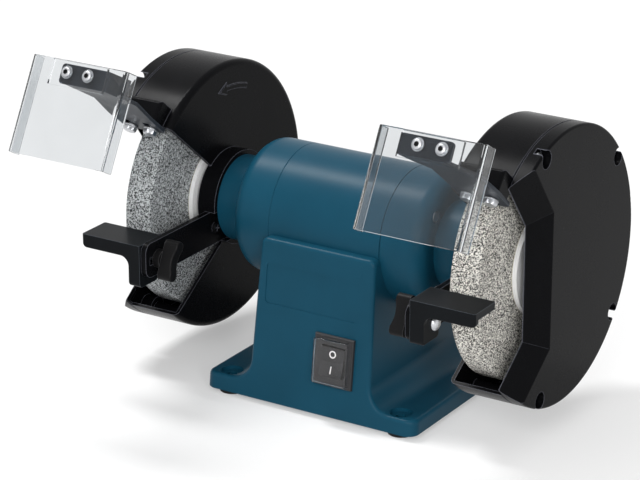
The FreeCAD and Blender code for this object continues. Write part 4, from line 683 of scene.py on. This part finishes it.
@dataclass(frozen=True)
class Fastener:
    """A screw or bolt with its seat at the origin and its head towards +Z.

    Apart from the count, values without a unit are shares: of the head for its rounding, mouths and recess,
    of the shank for the tip and the bores, of the washer's height for its edge and top, and of the nut for
    its chamfer.
    """

    head_radius: float
    head_height: float
    shank_radius: float
    drive: Form
    washer_radius: float = 0.0
    washer_height: float = 0.0
    nut_radius: float = 0.0
    nut_drop: float = 0.0
    tip_length: float = 0.6 * MM
    nut_edge: float = 0.4 * MM
    nut_inset: float = 0.2 * MM
    rounding: float = 0.16
    cross_mouth: float = 0.58
    socket_mouth: float = 0.5
    recess_depth: float = 0.55
    tip: float = 0.82
    washer_bore: float = 1.04
    nut_bore: float = 1.02
    washer_edge: float = 0.2
    washer_top: float = 0.98
    nut_chamfer: float = 0.86
    count: int = 48

    def head(self) -> list[Ring]:
        """Gives the rings of the head above its lower edge.

        Returns:
            The rings, from the side to the middle of the drive or of the top.
        """
        radius, top = self.head_radius, self.washer_height + self.head_height
        if self.drive is Form.DOME:
            return [Ring(radius * math.cos(turn), self.washer_height + self.head_height * math.sin(turn))
                    for turn in map(math.radians, DOME_ANGLES)]
        rounding = self.rounding * radius
        section = HEX_HEAD if self.drive is Form.HEX else ROUND_HEAD
        rings = [Ring(radius * share, top - drop * rounding, form) for share, drop, form in section]
        if self.drive is Form.HEX:
            return rings
        crossed = self.drive is Form.CROSS
        hole = Form.CROSS if crossed else Form.HEX
        mouth = radius * (self.cross_mouth if crossed else self.socket_mouth)
        depth = self.head_height * self.recess_depth
        return rings + [Ring(mouth * share, top - drop * depth, hole, recess)
                        for share, drop, recess in DRIVE_RECESS]

    def template(self, shank: float) -> Object:
        """Builds one fastener.

        Args:
            shank: Length of the shank below the seat.

        Returns:
            The object that the seats repeat.
        """
        maker = MeshMaker()
        base, thread = self.washer_height, self.shank_radius
        outer = Form.HEX if self.drive is Form.HEX else Form.ROUND
        rings = [Ring(thread * self.tip, -shank), Ring(thread, -shank + self.tip_length), Ring(thread, base),
                 Ring(self.head_radius, base, outer)]
        maker.turn(rings + self.head(), self.count)
        if self.washer_radius:
            inner, rim = thread * self.washer_bore, self.washer_radius
            edge, top = self.washer_edge * base, self.washer_top * base
            maker.turn([Ring(inner, 0.0), Ring(rim - edge, 0.0), Ring(rim, edge), Ring(rim, base - edge),
                        Ring(rim - edge, top), Ring(inner, top)], self.count, closed=True)
        if self.nut_radius:
            inner, corner = thread * self.nut_bore, self.nut_radius
            low, high = -shank + self.nut_inset, -self.nut_drop
            maker.turn([Ring(inner, low), Ring(corner * self.nut_chamfer, low),
                        Ring(corner, low + self.nut_edge, Form.HEX), Ring(corner, high, Form.HEX),
                        Ring(inner, high)], self.count, closed=True)
        return maker.finish("template")


def bake(made: Object) -> bpy.types.Mesh:
    """Makes a piece with modifiers a plain mesh.

    Args:
        made: The piece, which loses its modifiers.

    Returns:
        Its new mesh.
    """
    bpy.context.view_layer.update()
    solid = made.evaluated_get(bpy.context.evaluated_depsgraph_get())
    data = bpy.data.meshes.new_from_object(solid)
    data.name = made.name
    made.modifiers.clear()
    made.data = data
    return data


def bake_crisp(made: Object) -> None:
    """Bakes a piece and shades it flat where it is flat along its own axes.

    Args:
        made: The piece, which loses its modifiers.
    """
    data = bake(made)
    data.set_sharp_from_angle(angle=SHARP_ANGLE)
    for polygon in data.polygons:
        polygon.use_smooth = max(map(abs, polygon.normal)) < FLAT_SHARE


class Repeater:
    """The geometry node tree that puts a copy of one object on every seat."""

    def __init__(self) -> None:
        """Builds the tree with its named inputs."""
        self.tree = bpy.data.node_groups.new("copies_on_seats", "GeometryNodeTree")
        inputs = {"Seats": "Geometry", "Copied": "Object", "Turn Spread": "Float", "Seed": "Int",
                  "Finish": "Material"}
        for name, kind in inputs.items():
            self.tree.interface.new_socket(name, in_out="INPUT", socket_type="NodeSocket" + kind)
        self.tree.interface.new_socket("Copies", in_out="OUTPUT", socket_type="NodeSocketGeometry")
        tree = Tree(self.tree)
        given = tree.add("NodeGroupInput").outputs
        axis = tree.add("GeometryNodeInputNamedAttribute", {"Name": "axis"}, data_type="FLOAT_VECTOR")
        aligned = tree.add("FunctionNodeAlignRotationToVector", {
            "Vector": axis.outputs["Attribute"]}, axis="Z")
        chance = tree.add("FunctionNodeRandomValue", {
            "Min": 0.0, "Max": given["Turn Spread"], "Seed": given["Seed"]}, data_type="FLOAT")
        spin = tree.add("FunctionNodeAxisAngleToRotation", {
            "Axis": (0.0, 0.0, 1.0), "Angle": chance.outputs[1]})
        turned = tree.add("FunctionNodeRotateRotation", {
            "Rotation": aligned.outputs["Rotation"], "Rotate By": spin.outputs["Rotation"]},
            rotation_space="LOCAL")
        copied = tree.add("GeometryNodeObjectInfo", {"Object": given["Copied"], "As Instance": True})
        placed = tree.add("GeometryNodeInstanceOnPoints", {
            "Points": given["Seats"], "Instance": copied.outputs["Geometry"],
            "Rotation": turned.outputs["Rotation"]})
        joined = tree.add("GeometryNodeRealizeInstances", {"Geometry": placed.outputs["Instances"]})
        dressed = tree.add("GeometryNodeSetMaterial", {
            "Geometry": joined.outputs["Geometry"], "Material": given["Finish"]})
        tree.add("NodeGroupOutput", {"Copies": dressed.outputs["Geometry"]})

    def run(self, name: str, seats: Sequence[tuple[Vector, Vector]], copied: Object,
            finish: str) -> Object:
        """Makes one plain mesh with a copy on every seat.

        Args:
            name: Name of the new object.
            seats: Place and outward direction of every copy.
            copied: The object to copy, which is removed afterwards.
            finish: Name of the finish.

        Returns:
            The new object.
        """
        points = bpy.data.meshes.new(name + "_seats")
        points.from_pydata([place for place, _ in seats], [], [])
        attribute = points.attributes.new("axis", "FLOAT_VECTOR", "POINT")
        for index, (_, axis) in enumerate(seats):
            attribute.data[index].vector = axis
        made = add_object(name, points)
        modifier = made.modifiers.new("copies", "NODES")
        modifier.node_group = self.tree
        values = {"Copied": copied, "Turn Spread": 2 * math.pi, "Seed": SEED,
                  "Finish": FINISHES[finish].material()}
        for item in self.tree.interface.items_tree:
            if item.in_out == "INPUT" and item.name in values:
                modifier[item.identifier] = values[item.name]
        data = bake(made)
        bpy.data.objects.remove(copied, do_unlink=True)
        data.shade_smooth()
        data.set_sharp_from_angle(angle=SHARP_ANGLE)
        return made


@dataclass
class FastenerSet:
    """All fasteners of one node, rebuilt with drives, washers and rounded heads."""

    node: str
    body: str
    fastener: Fastener
    direction: Callable[[Solid], Vector]
    finish: str = "zinc_steel"

    def build(self, repeater: Repeater) -> None:
        """Builds and dresses the set.

        Args:
            repeater: The tree that copies the fastener to its seats.
        """
        seats = []
        shank = 0.0
        for solid in Solid.all_of(self.node):
            axis = self.direction(solid)
            low, high = solid.span(axis)
            seat = high - self.fastener.head_height - self.fastener.washer_height
            seats.append((solid.centre_line(axis) + axis * seat, axis))
            shank = seat - low
        template = self.fastener.template(shank)
        made = repeater.run(self.node + "_made", seats, template, self.finish)
        settle(made, self.finish, self.body, [self.node])


def carve(made: Object, tools: Sequence[tuple[Object, str]]) -> None:
    """Joins solids to a piece or cuts them out of it.

    Args:
        made: The piece.
        tools: Solids with UNION or DIFFERENCE, which are removed afterwards.
    """
    for tool, operation in tools:
        modifier = made.modifiers.new(tool.name, "BOOLEAN")
        modifier.object, modifier.operation, modifier.solver = tool, operation, "EXACT"
    bake_crisp(made)
    for tool, _ in tools:
        bpy.data.objects.remove(tool, do_unlink=True)


def leaning(angle: float) -> Vector:
    """Gives the direction that a front faces when it leans back by an angle."""
    return Vector((0.0, -math.cos(angle), math.sin(angle)))


def facing(front: Vector) -> Matrix:
    """Gives the turn whose columns run across a front, backwards from it and up along it."""
    return Matrix((ACROSS, -front, front.cross(ACROSS))).transposed()


@dataclass
class EyeLens:
    """A clear moulded lens with rounded bends, a raised pad at its back and sunk screw holes."""

    side: str
    front: Vector
    thickness: float = 2.5 * MM
    bend: float = 3.4 * MM
    edge: float = 0.7 * MM
    pad_size: tuple[float, float, float] = (53.5 * MM, 20.7 * MM, 3.0 * MM)
    pad_root: float = 1.0 * MM
    pad_slope: float = 0.15 * MM
    hole_spacing: float = 20.5 * MM
    hole_drop: float = 9.7 * MM
    hole_radius: float = 2.6 * MM
    hole_start: float = 3.0 * MM
    hole_count: int = 48
    sink_radius: float = 5.65 * MM
    sink_depth: float = 2.0 * MM
    arc_steps: int = 6

    def section(self, half: float, flange: float) -> list[Vector]:
        """Gives the outline of the bent sheet.

        Args:
            half: Half of the width.
            flange: Depth of the bent sides, from the front.

        Returns:
            Points with x across and y backwards, in order round the outline.
        """
        inner = self.bend - self.thickness
        turns = [math.pi / 2 * step / self.arc_steps for step in range(self.arc_steps + 1)]
        centre = half - self.bend
        tip = flange - self.edge
        wall = half - self.thickness
        right = [Vector((centre + self.bend * math.sin(a), self.bend * (1 - math.cos(a)))) for a in turns]
        right += [Vector((half, tip)), Vector((half - self.edge, flange)), Vector((wall + self.edge, flange)),
                  Vector((wall, tip))]
        right += [Vector((centre + inner * math.sin(a), self.bend - inner * math.cos(a)))
                  for a in reversed(turns)]
        return right + [Vector((-point.x, point.y)) for point in reversed(right)]

    def sheet(self, points: Sequence[Vector], height: float) -> MeshMaker:
        """Draws the outline along the lens's height, with rounded upper and lower edges.

        Args:
            points: The outline.
            height: Height of the lens.

        Returns:
            The mesh, with z from the top edge down.
        """
        least_cosine = 0.4
        insets = []
        for before, point, after in zip(points[-1:] + points[:-1], points, points[1:] + points[:1]):
            sides = [step.orthogonal().normalized() for step in (point - before, after - point)]
            middle = (sides[0] + sides[1]).normalized()
            insets.append(middle / max(least_cosine, middle.dot(sides[0])))
        maker = MeshMaker()
        rows = []
        edge, near = self.edge, 0.3 * self.edge
        for drop, inset in ((0.0, edge), (near, near), (edge, 0.0), (height - edge, 0.0),
                            (height - near, near), (height, edge)):
            flat = [point + inwards * inset for point, inwards in zip(points, insets)]
            rows.append([maker.mesh.verts.new((point.x, point.y, -drop)) for point in flat])
        for low, high in zip(rows, rows[1:]):
            maker.bridge(low, high)
        maker.mesh.faces.new(rows[0])
        maker.mesh.faces.new(list(reversed(rows[-1])))
        return maker

    def pad(self) -> Object:
        """Gives the raised pad that the bracket is screwed to.

        Returns:
            The pad, with its root inside the sheet.
        """
        wide, tall, rise = self.pad_size
        maker = MeshMaker()
        corners = [(-wide / 2, -tall), (wide / 2, -tall), (wide / 2, 0.0), (-wide / 2, 0.0)]
        foot = [Vector((x, self.thickness - self.pad_root, z - self.edge)) for x, z in corners]
        maker.emboss(foot, Vector((0.0, rise + self.pad_root, 0.0)), self.pad_slope)
        return maker.finish("pad")

    def hole(self, place: float, through: float) -> Object:
        """Gives the solid that cuts one screw hole.

        Args:
            place: Where the hole lies across the lens.
            through: Depth of the cut.

        Returns:
            The solid.
        """
        maker = MeshMaker()
        maker.turn([Ring(self.sink_radius, self.hole_start), Ring(self.sink_radius, -self.sink_depth),
                    Ring(self.hole_radius, -self.sink_depth), Ring(self.hole_radius, -through)],
                   self.hole_count)
        seat = Matrix.Translation((place, 0.0, -self.hole_drop))
        maker.move(seat @ Matrix.Rotation(math.pi / 2, 4, "X"))
        return maker.finish("hole")

    def build(self) -> None:
        """Builds and dresses the lens."""
        node = self.side + "_lens"
        turn = facing(self.front)
        (left, right), (face, back), (bottom, top) = Solid.all_of(node)[0].spans(turn)
        sheet = self.sheet(self.section((right - left) / 2, back - face), top - bottom)
        tools = [(self.pad(), "UNION")]
        for way in (-1, 1):
            tools.append((self.hole(way * self.hole_spacing / 2, 2 * back), "DIFFERENCE"))
        made = sheet.finish(node + "_clear")
        carve(made, tools)
        made.data.transform(turn.to_4x4() @ Matrix.Translation(((left + right) / 2, face, top)))
        settle(made, "clear_lens", self.side + "_eye_shield", [node])


@dataclass
class ShieldBracket:
    """The arm of an eye shield, set a hair's breadth clear of the lug that it slides on."""

    side: str
    lug_normal: Vector
    clearance: float = 0.02 * MM

    def build(self) -> None:
        """Builds and dresses the arm."""
        node = self.side + "_bracket"
        maker = MeshMaker()
        maker.load(node)
        maker.move(Matrix.Translation(self.lug_normal * self.clearance))
        settle(maker.finish(node + "_made"), "bracket_paint", self.side + "_eye_shield", [node])


@dataclass
class DustCover:
    """The clear moulded cap over the switch, with rounded edges and an even wall."""

    front: Vector
    wall: float = 1.2 * MM
    edge: float = 2.2 * MM
    steps: int = 4

    def build(self) -> None:
        """Builds and dresses the cap."""
        node = "switch_dust_cover"
        turn = facing(self.front)
        spans = Solid.all_of(node)[0].spans(turn)
        maker = MeshMaker()
        size = Matrix.Diagonal((*(high - low for low, high in spans), 1.0))
        bmesh.ops.create_cube(maker.mesh, size=1.0, matrix=size)
        maker.mesh.faces.ensure_lookup_table()
        open_side = max(maker.mesh.faces, key=lambda side: side.calc_center_median().y)
        bmesh.ops.delete(maker.mesh, geom=[open_side], context="FACES_ONLY")
        made = maker.finish(node + "_clear")
        bevel = made.modifiers.new("edges", "BEVEL")
        bevel.width, bevel.segments = self.edge, self.steps
        wall = made.modifiers.new("wall", "SOLIDIFY")
        wall.thickness, wall.offset = self.wall, -1.0
        bake_crisp(made)
        made.data.transform(turn.to_4x4() @ Matrix.Translation([sum(span) / 2 for span in spans]))
        settle(made, "clear_cover", "frame", [node])


@dataclass
class GrindingWheel:
    """A bonded wheel whose rim and sides carry the relief of its grains."""

    side: str
    finish: str
    bore_radius: float = 16.0 * MM
    edge: float = 1.2 * MM
    relief: float = 0.28 * MM
    grain: float = 2.2 * MM
    smooth_angle: float = 1.2
    around: int = 560
    rim_rows: int = 30
    side_rows: int = 16

    def outline(self, radius: float, half: float) -> list[tuple[float, float]]:
        """Gives the wheel's section.

        Args:
            radius: Radius of the rim.
            half: Half of the width.

        Returns:
            Pairs of radius and place along the shaft, from bore to rim and back to the bore.
        """
        edge, flat = self.edge, radius - self.edge
        points = [(self.bore_radius + (flat - self.bore_radius) * step / self.side_rows, -half)
                  for step in range(self.side_rows + 1)]
        points += [(flat + edge * math.sin(turn), -half + edge - edge * math.cos(turn))
                   for turn in (math.pi / 6, math.pi / 3)]
        one_side = list(reversed(points))
        points += [(radius, -half + edge + (2 * half - 2 * edge) * step / self.rim_rows)
                   for step in range(self.rim_rows + 1)]
        return points + [(reach, -place) for reach, place in one_side]

    def build(self) -> None:
        """Builds and dresses the wheel."""
        node = self.side + "_grinding_wheel"
        low, high = (Vector(corner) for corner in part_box(node))
        middle = (low + high) / 2
        radius, half = (high.z - low.z) / 2, (high.x - low.x) / 2
        maker = MeshMaker()
        rings = [Ring(reach, place) for reach, place in self.outline(radius, half)]
        maker.turn(rings, self.around, closed=True)
        upright = Matrix.Translation(middle) @ Matrix.Rotation(math.pi / 2, 4, "Y")
        for vertex in maker.mesh.verts:
            point = upright @ vertex.co
            outside = Vector((0.0, point.y - middle.y, point.z - middle.z))
            reach = outside.length
            sink = self.relief * (0.5 + 0.5 * noise.noise(point / self.grain))
            if reach > radius - self.edge:
                point -= outside / reach * sink
            elif reach > self.bore_radius + self.edge:
                point.x -= math.copysign(sink, point.x - middle.x)
            vertex.co = point
        settle(maker.finish(self.side + "_wheel_grit", self.smooth_angle), self.finish, "spindle", [node])


@dataclass
class RotationArrow:
    """A plain raised arrow on the guard's inner wall that shows which way the wheel turns."""

    side: str
    radius: float = 94.0 * MM
    half_width: float = 2.6 * MM
    head_width: float = 6.0 * MM
    start: float = math.radians(19)
    neck: float = 0.0
    tip: float = math.radians(-8)
    rise: float = 0.9 * MM
    slope: float = 0.9 * MM
    hub_length: float = 14.0 * MM
    steps: int = 18

    def build(self) -> None:
        """Builds and dresses the arrow."""
        low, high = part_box(self.side + "_guard_drum")
        shaft_low, shaft_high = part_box("shaft")
        axis_height = (shaft_low[2] + shaft_high[2]) / 2
        inward = 1.0 if self.side == "left" else -1.0
        wall = high[0] if self.side == "left" else low[0]
        wall_face = wall - inward * self.hub_length

        def at(angle: float, offset: float) -> Vector:
            """Gives a point of the wall at an angle from straight up, and off the arrow's middle line."""
            reach = self.radius + offset
            return Vector((wall_face, reach * math.sin(angle), axis_height + reach * math.cos(angle)))

        maker = MeshMaker()
        angles = [self.start + (self.neck - self.start) * step / self.steps for step in range(self.steps + 1)]
        outline = [at(angle, self.half_width) for angle in angles]
        outline += [at(self.neck, self.head_width), at(self.tip, 0.0), at(self.neck, -self.head_width)]
        outline += [at(angle, -self.half_width) for angle in reversed(angles)]
        maker.emboss(outline, Vector((inward * self.rise, 0.0, 0.0)), self.slope)
        settle(maker.finish(self.side + "_rotation_arrow"), "guard_paint", "frame")


def joint(name: str) -> dict[str, Any]:
    """Gives a joint's row of the record."""
    return next(row for row in frame["record"]["behaviour"]["joints"] if row["name"] == name)


@dataclass
class SwitchMarks:
    """The two generic marks on the rocker: a ring for off and a bar for on."""

    face_angle: float = math.atan(17.0 / 138.0)
    pin_out: float = 1.0 * MM
    ring_radius: float = 3.2 * MM
    ring_width: float = 1.1 * MM
    bar_half: float = 3.2 * MM
    rise: float = 0.2 * MM
    slope: float = 0.08 * MM
    ring_place: tuple[float, float] = (-3.50 * MM, 6.4 * MM)
    ring_lean: float = -math.atan(0.672 / 11.9)
    bar_place: tuple[float, float] = (-5.35 * MM, -6.6 * MM)
    bar_lean: float = -math.atan(2.673 / 11.9)
    count: int = 32

    def build(self) -> None:
        """Builds and dresses the marks."""
        tilt = Matrix.Rotation(-self.face_angle, 4, "X")
        origin = Vector(joint("switch_rock")["pos_m"]) + tilt @ Vector((0.0, self.pin_out, 0.0))
        rise, slope = self.rise, self.slope
        ring = MeshMaker()
        inner, outer = self.ring_radius - self.ring_width, self.ring_radius
        ring.turn([Ring(inner, -rise), Ring(outer, -rise), Ring(outer, rise - slope),
                   Ring(outer - slope, rise), Ring(inner + slope, rise), Ring(inner, rise - slope)],
                  self.count, closed=True)
        bar = MeshMaker()
        half, long = self.ring_width / 2, self.bar_half
        corners = [(-half, -long), (half, -long), (half, long), (-half, long)]
        bar.emboss([Vector((x, y, -rise)) for x, y in corners], Vector((0.0, 0.0, 2 * rise)), slope)
        for name, maker, place, lean in (("off_mark", ring, self.ring_place, self.ring_lean),
                                         ("on_mark", bar, self.bar_place, self.bar_lean)):
            face = Matrix.Translation(origin) @ tilt @ Matrix.Translation((0.0, *place))
            maker.move(face @ Matrix.Rotation(math.pi / 2 + lean, 4, "X"))
            settle(maker.finish(name), "pale_plastic", "switch_rocker")


@dataclass(frozen=True)
class Lamp:
    """A soft strip lamp: its place, its length along the shaft, its depth and its power in watts."""

    name: str
    place: Place
    length: float
    depth: float
    power: float


@dataclass
class Studio:
    """Camera, lights, floor and background."""

    azimuth: float = math.radians(32.14)
    elevation: float = math.radians(20.67)
    distance: float = 2.36344
    focal_px: float = 2807.89
    target: Place = (-0.03899, 0.0, 0.12125)
    image_width: int = 640
    sensor_width: float = 36.0
    view_depth: float = 50.0
    ambient: float = 0.5
    floor_reach: float = 6.0
    floor_colour: Colour = (0.62, 0.62, 0.62)
    floor_roughness: float = 0.95
    floor_glow: tuple[float, float, float] = (0.26, 0.54, 0.74)
    glow_distances: tuple[float, float, float] = (0.4, 1.2, 3.0)
    glow_start: Place = (-0.6, 0.05, 0.0)
    lamps: tuple[Lamp, ...] = (
        Lamp("key", (-0.8, 0.0, 1.62), 0.75, 0.3, 22.0),
        Lamp("front", (0.45, -1.5, 1.0), 0.9, 0.6, 12.0),
        Lamp("right", (1.25, -1.2, 0.6), 0.5, 0.5, 10.0),
    )

    def camera(self) -> None:
        """Sets the camera of the photo."""
        back = Vector((math.sin(self.azimuth) * math.cos(self.elevation),
                       -math.cos(self.azimuth) * math.cos(self.elevation), math.sin(self.elevation)))
        data = bpy.data.cameras.new("camera")
        data.sensor_width = self.sensor_width
        data.lens = self.focal_px * self.sensor_width / self.image_width
        data.clip_end = self.view_depth
        seen_from = add_object("camera", data)
        seen_from.location = Vector(self.target) + back * self.distance
        seen_from.rotation_euler = back.to_track_quat("Z", "Y").to_euler()
        bpy.context.scene.camera = seen_from

    def light(self) -> None:
        """Hangs the lamps, each a strip along the shaft's direction, tipped towards the part."""
        for lamp in self.lamps:
            data = bpy.data.lights.new(lamp.name, "AREA")
            data.shape = "RECTANGLE"
            data.size, data.size_y = lamp.length, lamp.depth
            data.energy = lamp.power
            hung = add_object(lamp.name, data)
            hung.location = lamp.place
            away = Vector(lamp.place) - Vector(self.target)
            hung.rotation_euler = (math.atan2(-away.y, away.z), 0.0, 0.0)

    @staticmethod
    def seen(tree: Tree) -> Socket:
        """Gives 1 for rays that show a surface to the eye, straight, mirrored or through glass.

        Args:
            tree: The tree that needs it.

        Returns:
            The value.
        """
        path = tree.add("ShaderNodeLightPath").outputs
        shown = tree.math("MAXIMUM", path["Is Camera Ray"], path["Is Glossy Ray"])
        return tree.math("MAXIMUM", shown, path["Is Transmission Ray"])

    def world(self) -> None:
        """Sets a white background with soft light from all round."""
        world = bpy.data.worlds.new("studio")
        world.use_nodes = True
        bpy.context.scene.world = world
        tree = Tree(world.node_tree)
        strength = tree.between(self.seen(tree), self.ambient, 1.0)
        tree.wire(world.node_tree.nodes["Background"], {"Color": WHITE, "Strength": strength})

    def floor(self) -> None:
        """Lays a pale floor that keeps the part's shadow and glows more with the distance."""
        data = bpy.data.meshes.new("floor")
        reach = self.floor_reach
        corners = [(-reach, -reach, 0), (reach, -reach, 0), (reach, reach, 0), (-reach, reach, 0)]
        data.from_pydata(corners, [], [(0, 1, 2, 3)])
        floor = add_object("floor", data)
        paper = bpy.data.materials.new("paper")
        paper.use_nodes = True
        tree = Tree(paper.node_tree)
        ends = {0: tree.place(), 1: self.glow_start}
        away = tree.add("ShaderNodeVectorMath", ends, operation="DISTANCE").outputs["Value"]
        low, middle, high = self.floor_glow
        near, between, distant = self.glow_distances
        rising = tree.between(away, low, middle, near, between)
        beyond = tree.between(away, 0.0, high - middle, between, distant)
        glow = tree.math("MULTIPLY", self.seen(tree), tree.math("ADD", rising, beyond))
        tree.wire(paper.node_tree.nodes["Principled BSDF"], {
            "Base Color": self.floor_colour, "Roughness": self.floor_roughness, "Specular IOR Level": 0.0,
            "Emission Color": WHITE, "Emission Strength": glow})
        data.materials.append(paper)

    def build(self) -> None:
        """Builds the whole studio."""
        self.camera()
        self.light()
        self.world()
        self.floor()
        bpy.context.scene.view_settings.view_transform = "Standard"


def dress() -> None:
    """Gives every solid of the part the finish that its slot names."""
    slots = {row["node"]: row["material_slot"] for row in frame["record"]["subparts"]}
    for name, node in frame["nodes"].items():
        material = FINISHES[slots[name]].material()
        if not node.material_slots:
            node.data.materials.append(material)
        for place in node.material_slots:
            place.material = material
        log.info("%s: %s", name, slots[name])


def outwards_x(solid: Solid) -> Vector:
    """Gives the direction along the shaft away from the motor."""
    return Vector((math.copysign(1.0, sum(solid.span(ACROSS))), 0.0, 0.0))


def inwards_x(solid: Solid) -> Vector:
    """Gives the direction along the shaft towards the motor."""
    return -outwards_x(solid)


def along(direction: Vector) -> Callable[[Solid], Vector]:
    """Gives a rule that points the heads of all fasteners the same way."""
    return lambda solid: direction.normalized()


def main() -> None:
    """Dresses the part, adds its pieces and sets the studio."""
    logging.basicConfig(level=logging.INFO, format="%(name)s: %(message)s")
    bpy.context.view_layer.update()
    dress()
    repeater = Repeater()
    slide = Vector(joint("right_shield_slide")["axis"])
    lug_normal = Vector((0.0, -slide.z, slide.y))
    lens_front = leaning(math.radians(28.2))
    sets = [
        FastenerSet("cover_screws", "frame", Fastener(4.6 * MM, 3.2 * MM, 2.5 * MM, Form.CROSS), outwards_x),
        FastenerSet("clamp_bolts", "frame",
                    Fastener(5.8 * MM, 4.0 * MM, 3.0 * MM, Form.HEX, 6.2 * MM, 1.2 * MM), along(lug_normal)),
        FastenerSet("arm_screws", "frame", Fastener(4.4 * MM, 3.0 * MM, 2.5 * MM, Form.CROSS), inwards_x,
                    "guard_paint"),
        FastenerSet("guard_bolts", "frame", Fastener(5.0 * MM, 5.0 * MM, 3.0 * MM, Form.ROUND), outwards_x),
        FastenerSet("closing_plate_screws", "frame", Fastener(4.4 * MM, 2.0 * MM, 2.45 * MM, Form.CROSS),
                    along(Vector((0.0, 0.0, -1.0)))),
    ]
    for fasteners in sets:
        fasteners.build(repeater)
    lens_screw = Fastener(4.2 * MM, 2.6 * MM, 2.5 * MM, Form.ROUND, 5.4 * MM, 0.9 * MM, 5.1 * MM, 6.5 * MM)
    rest_bolt = Fastener(6.5 * MM, 3.6 * MM, 3.0 * MM, Form.DOME)
    for side in SIDES:
        shield = side + "_eye_shield"
        FastenerSet(side + "_lens_screws", shield, lens_screw, along(lens_front)).build(repeater)
        EyeLens(side, lens_front).build()
        ShieldBracket(side, lug_normal).build()
        FastenerSet(side + "_rest_bolt", side + "_rest_slider", rest_bolt, outwards_x).build(repeater)
    GrindingWheel("left", "coarse_abrasive").build()
    GrindingWheel("right", "fine_abrasive").build()
    for side in SIDES:
        RotationArrow(side).build()
    marks = SwitchMarks()
    marks.build()
    DustCover(leaning(marks.face_angle)).build()
    Studio().build()


if __name__ == "__main__":
    main()
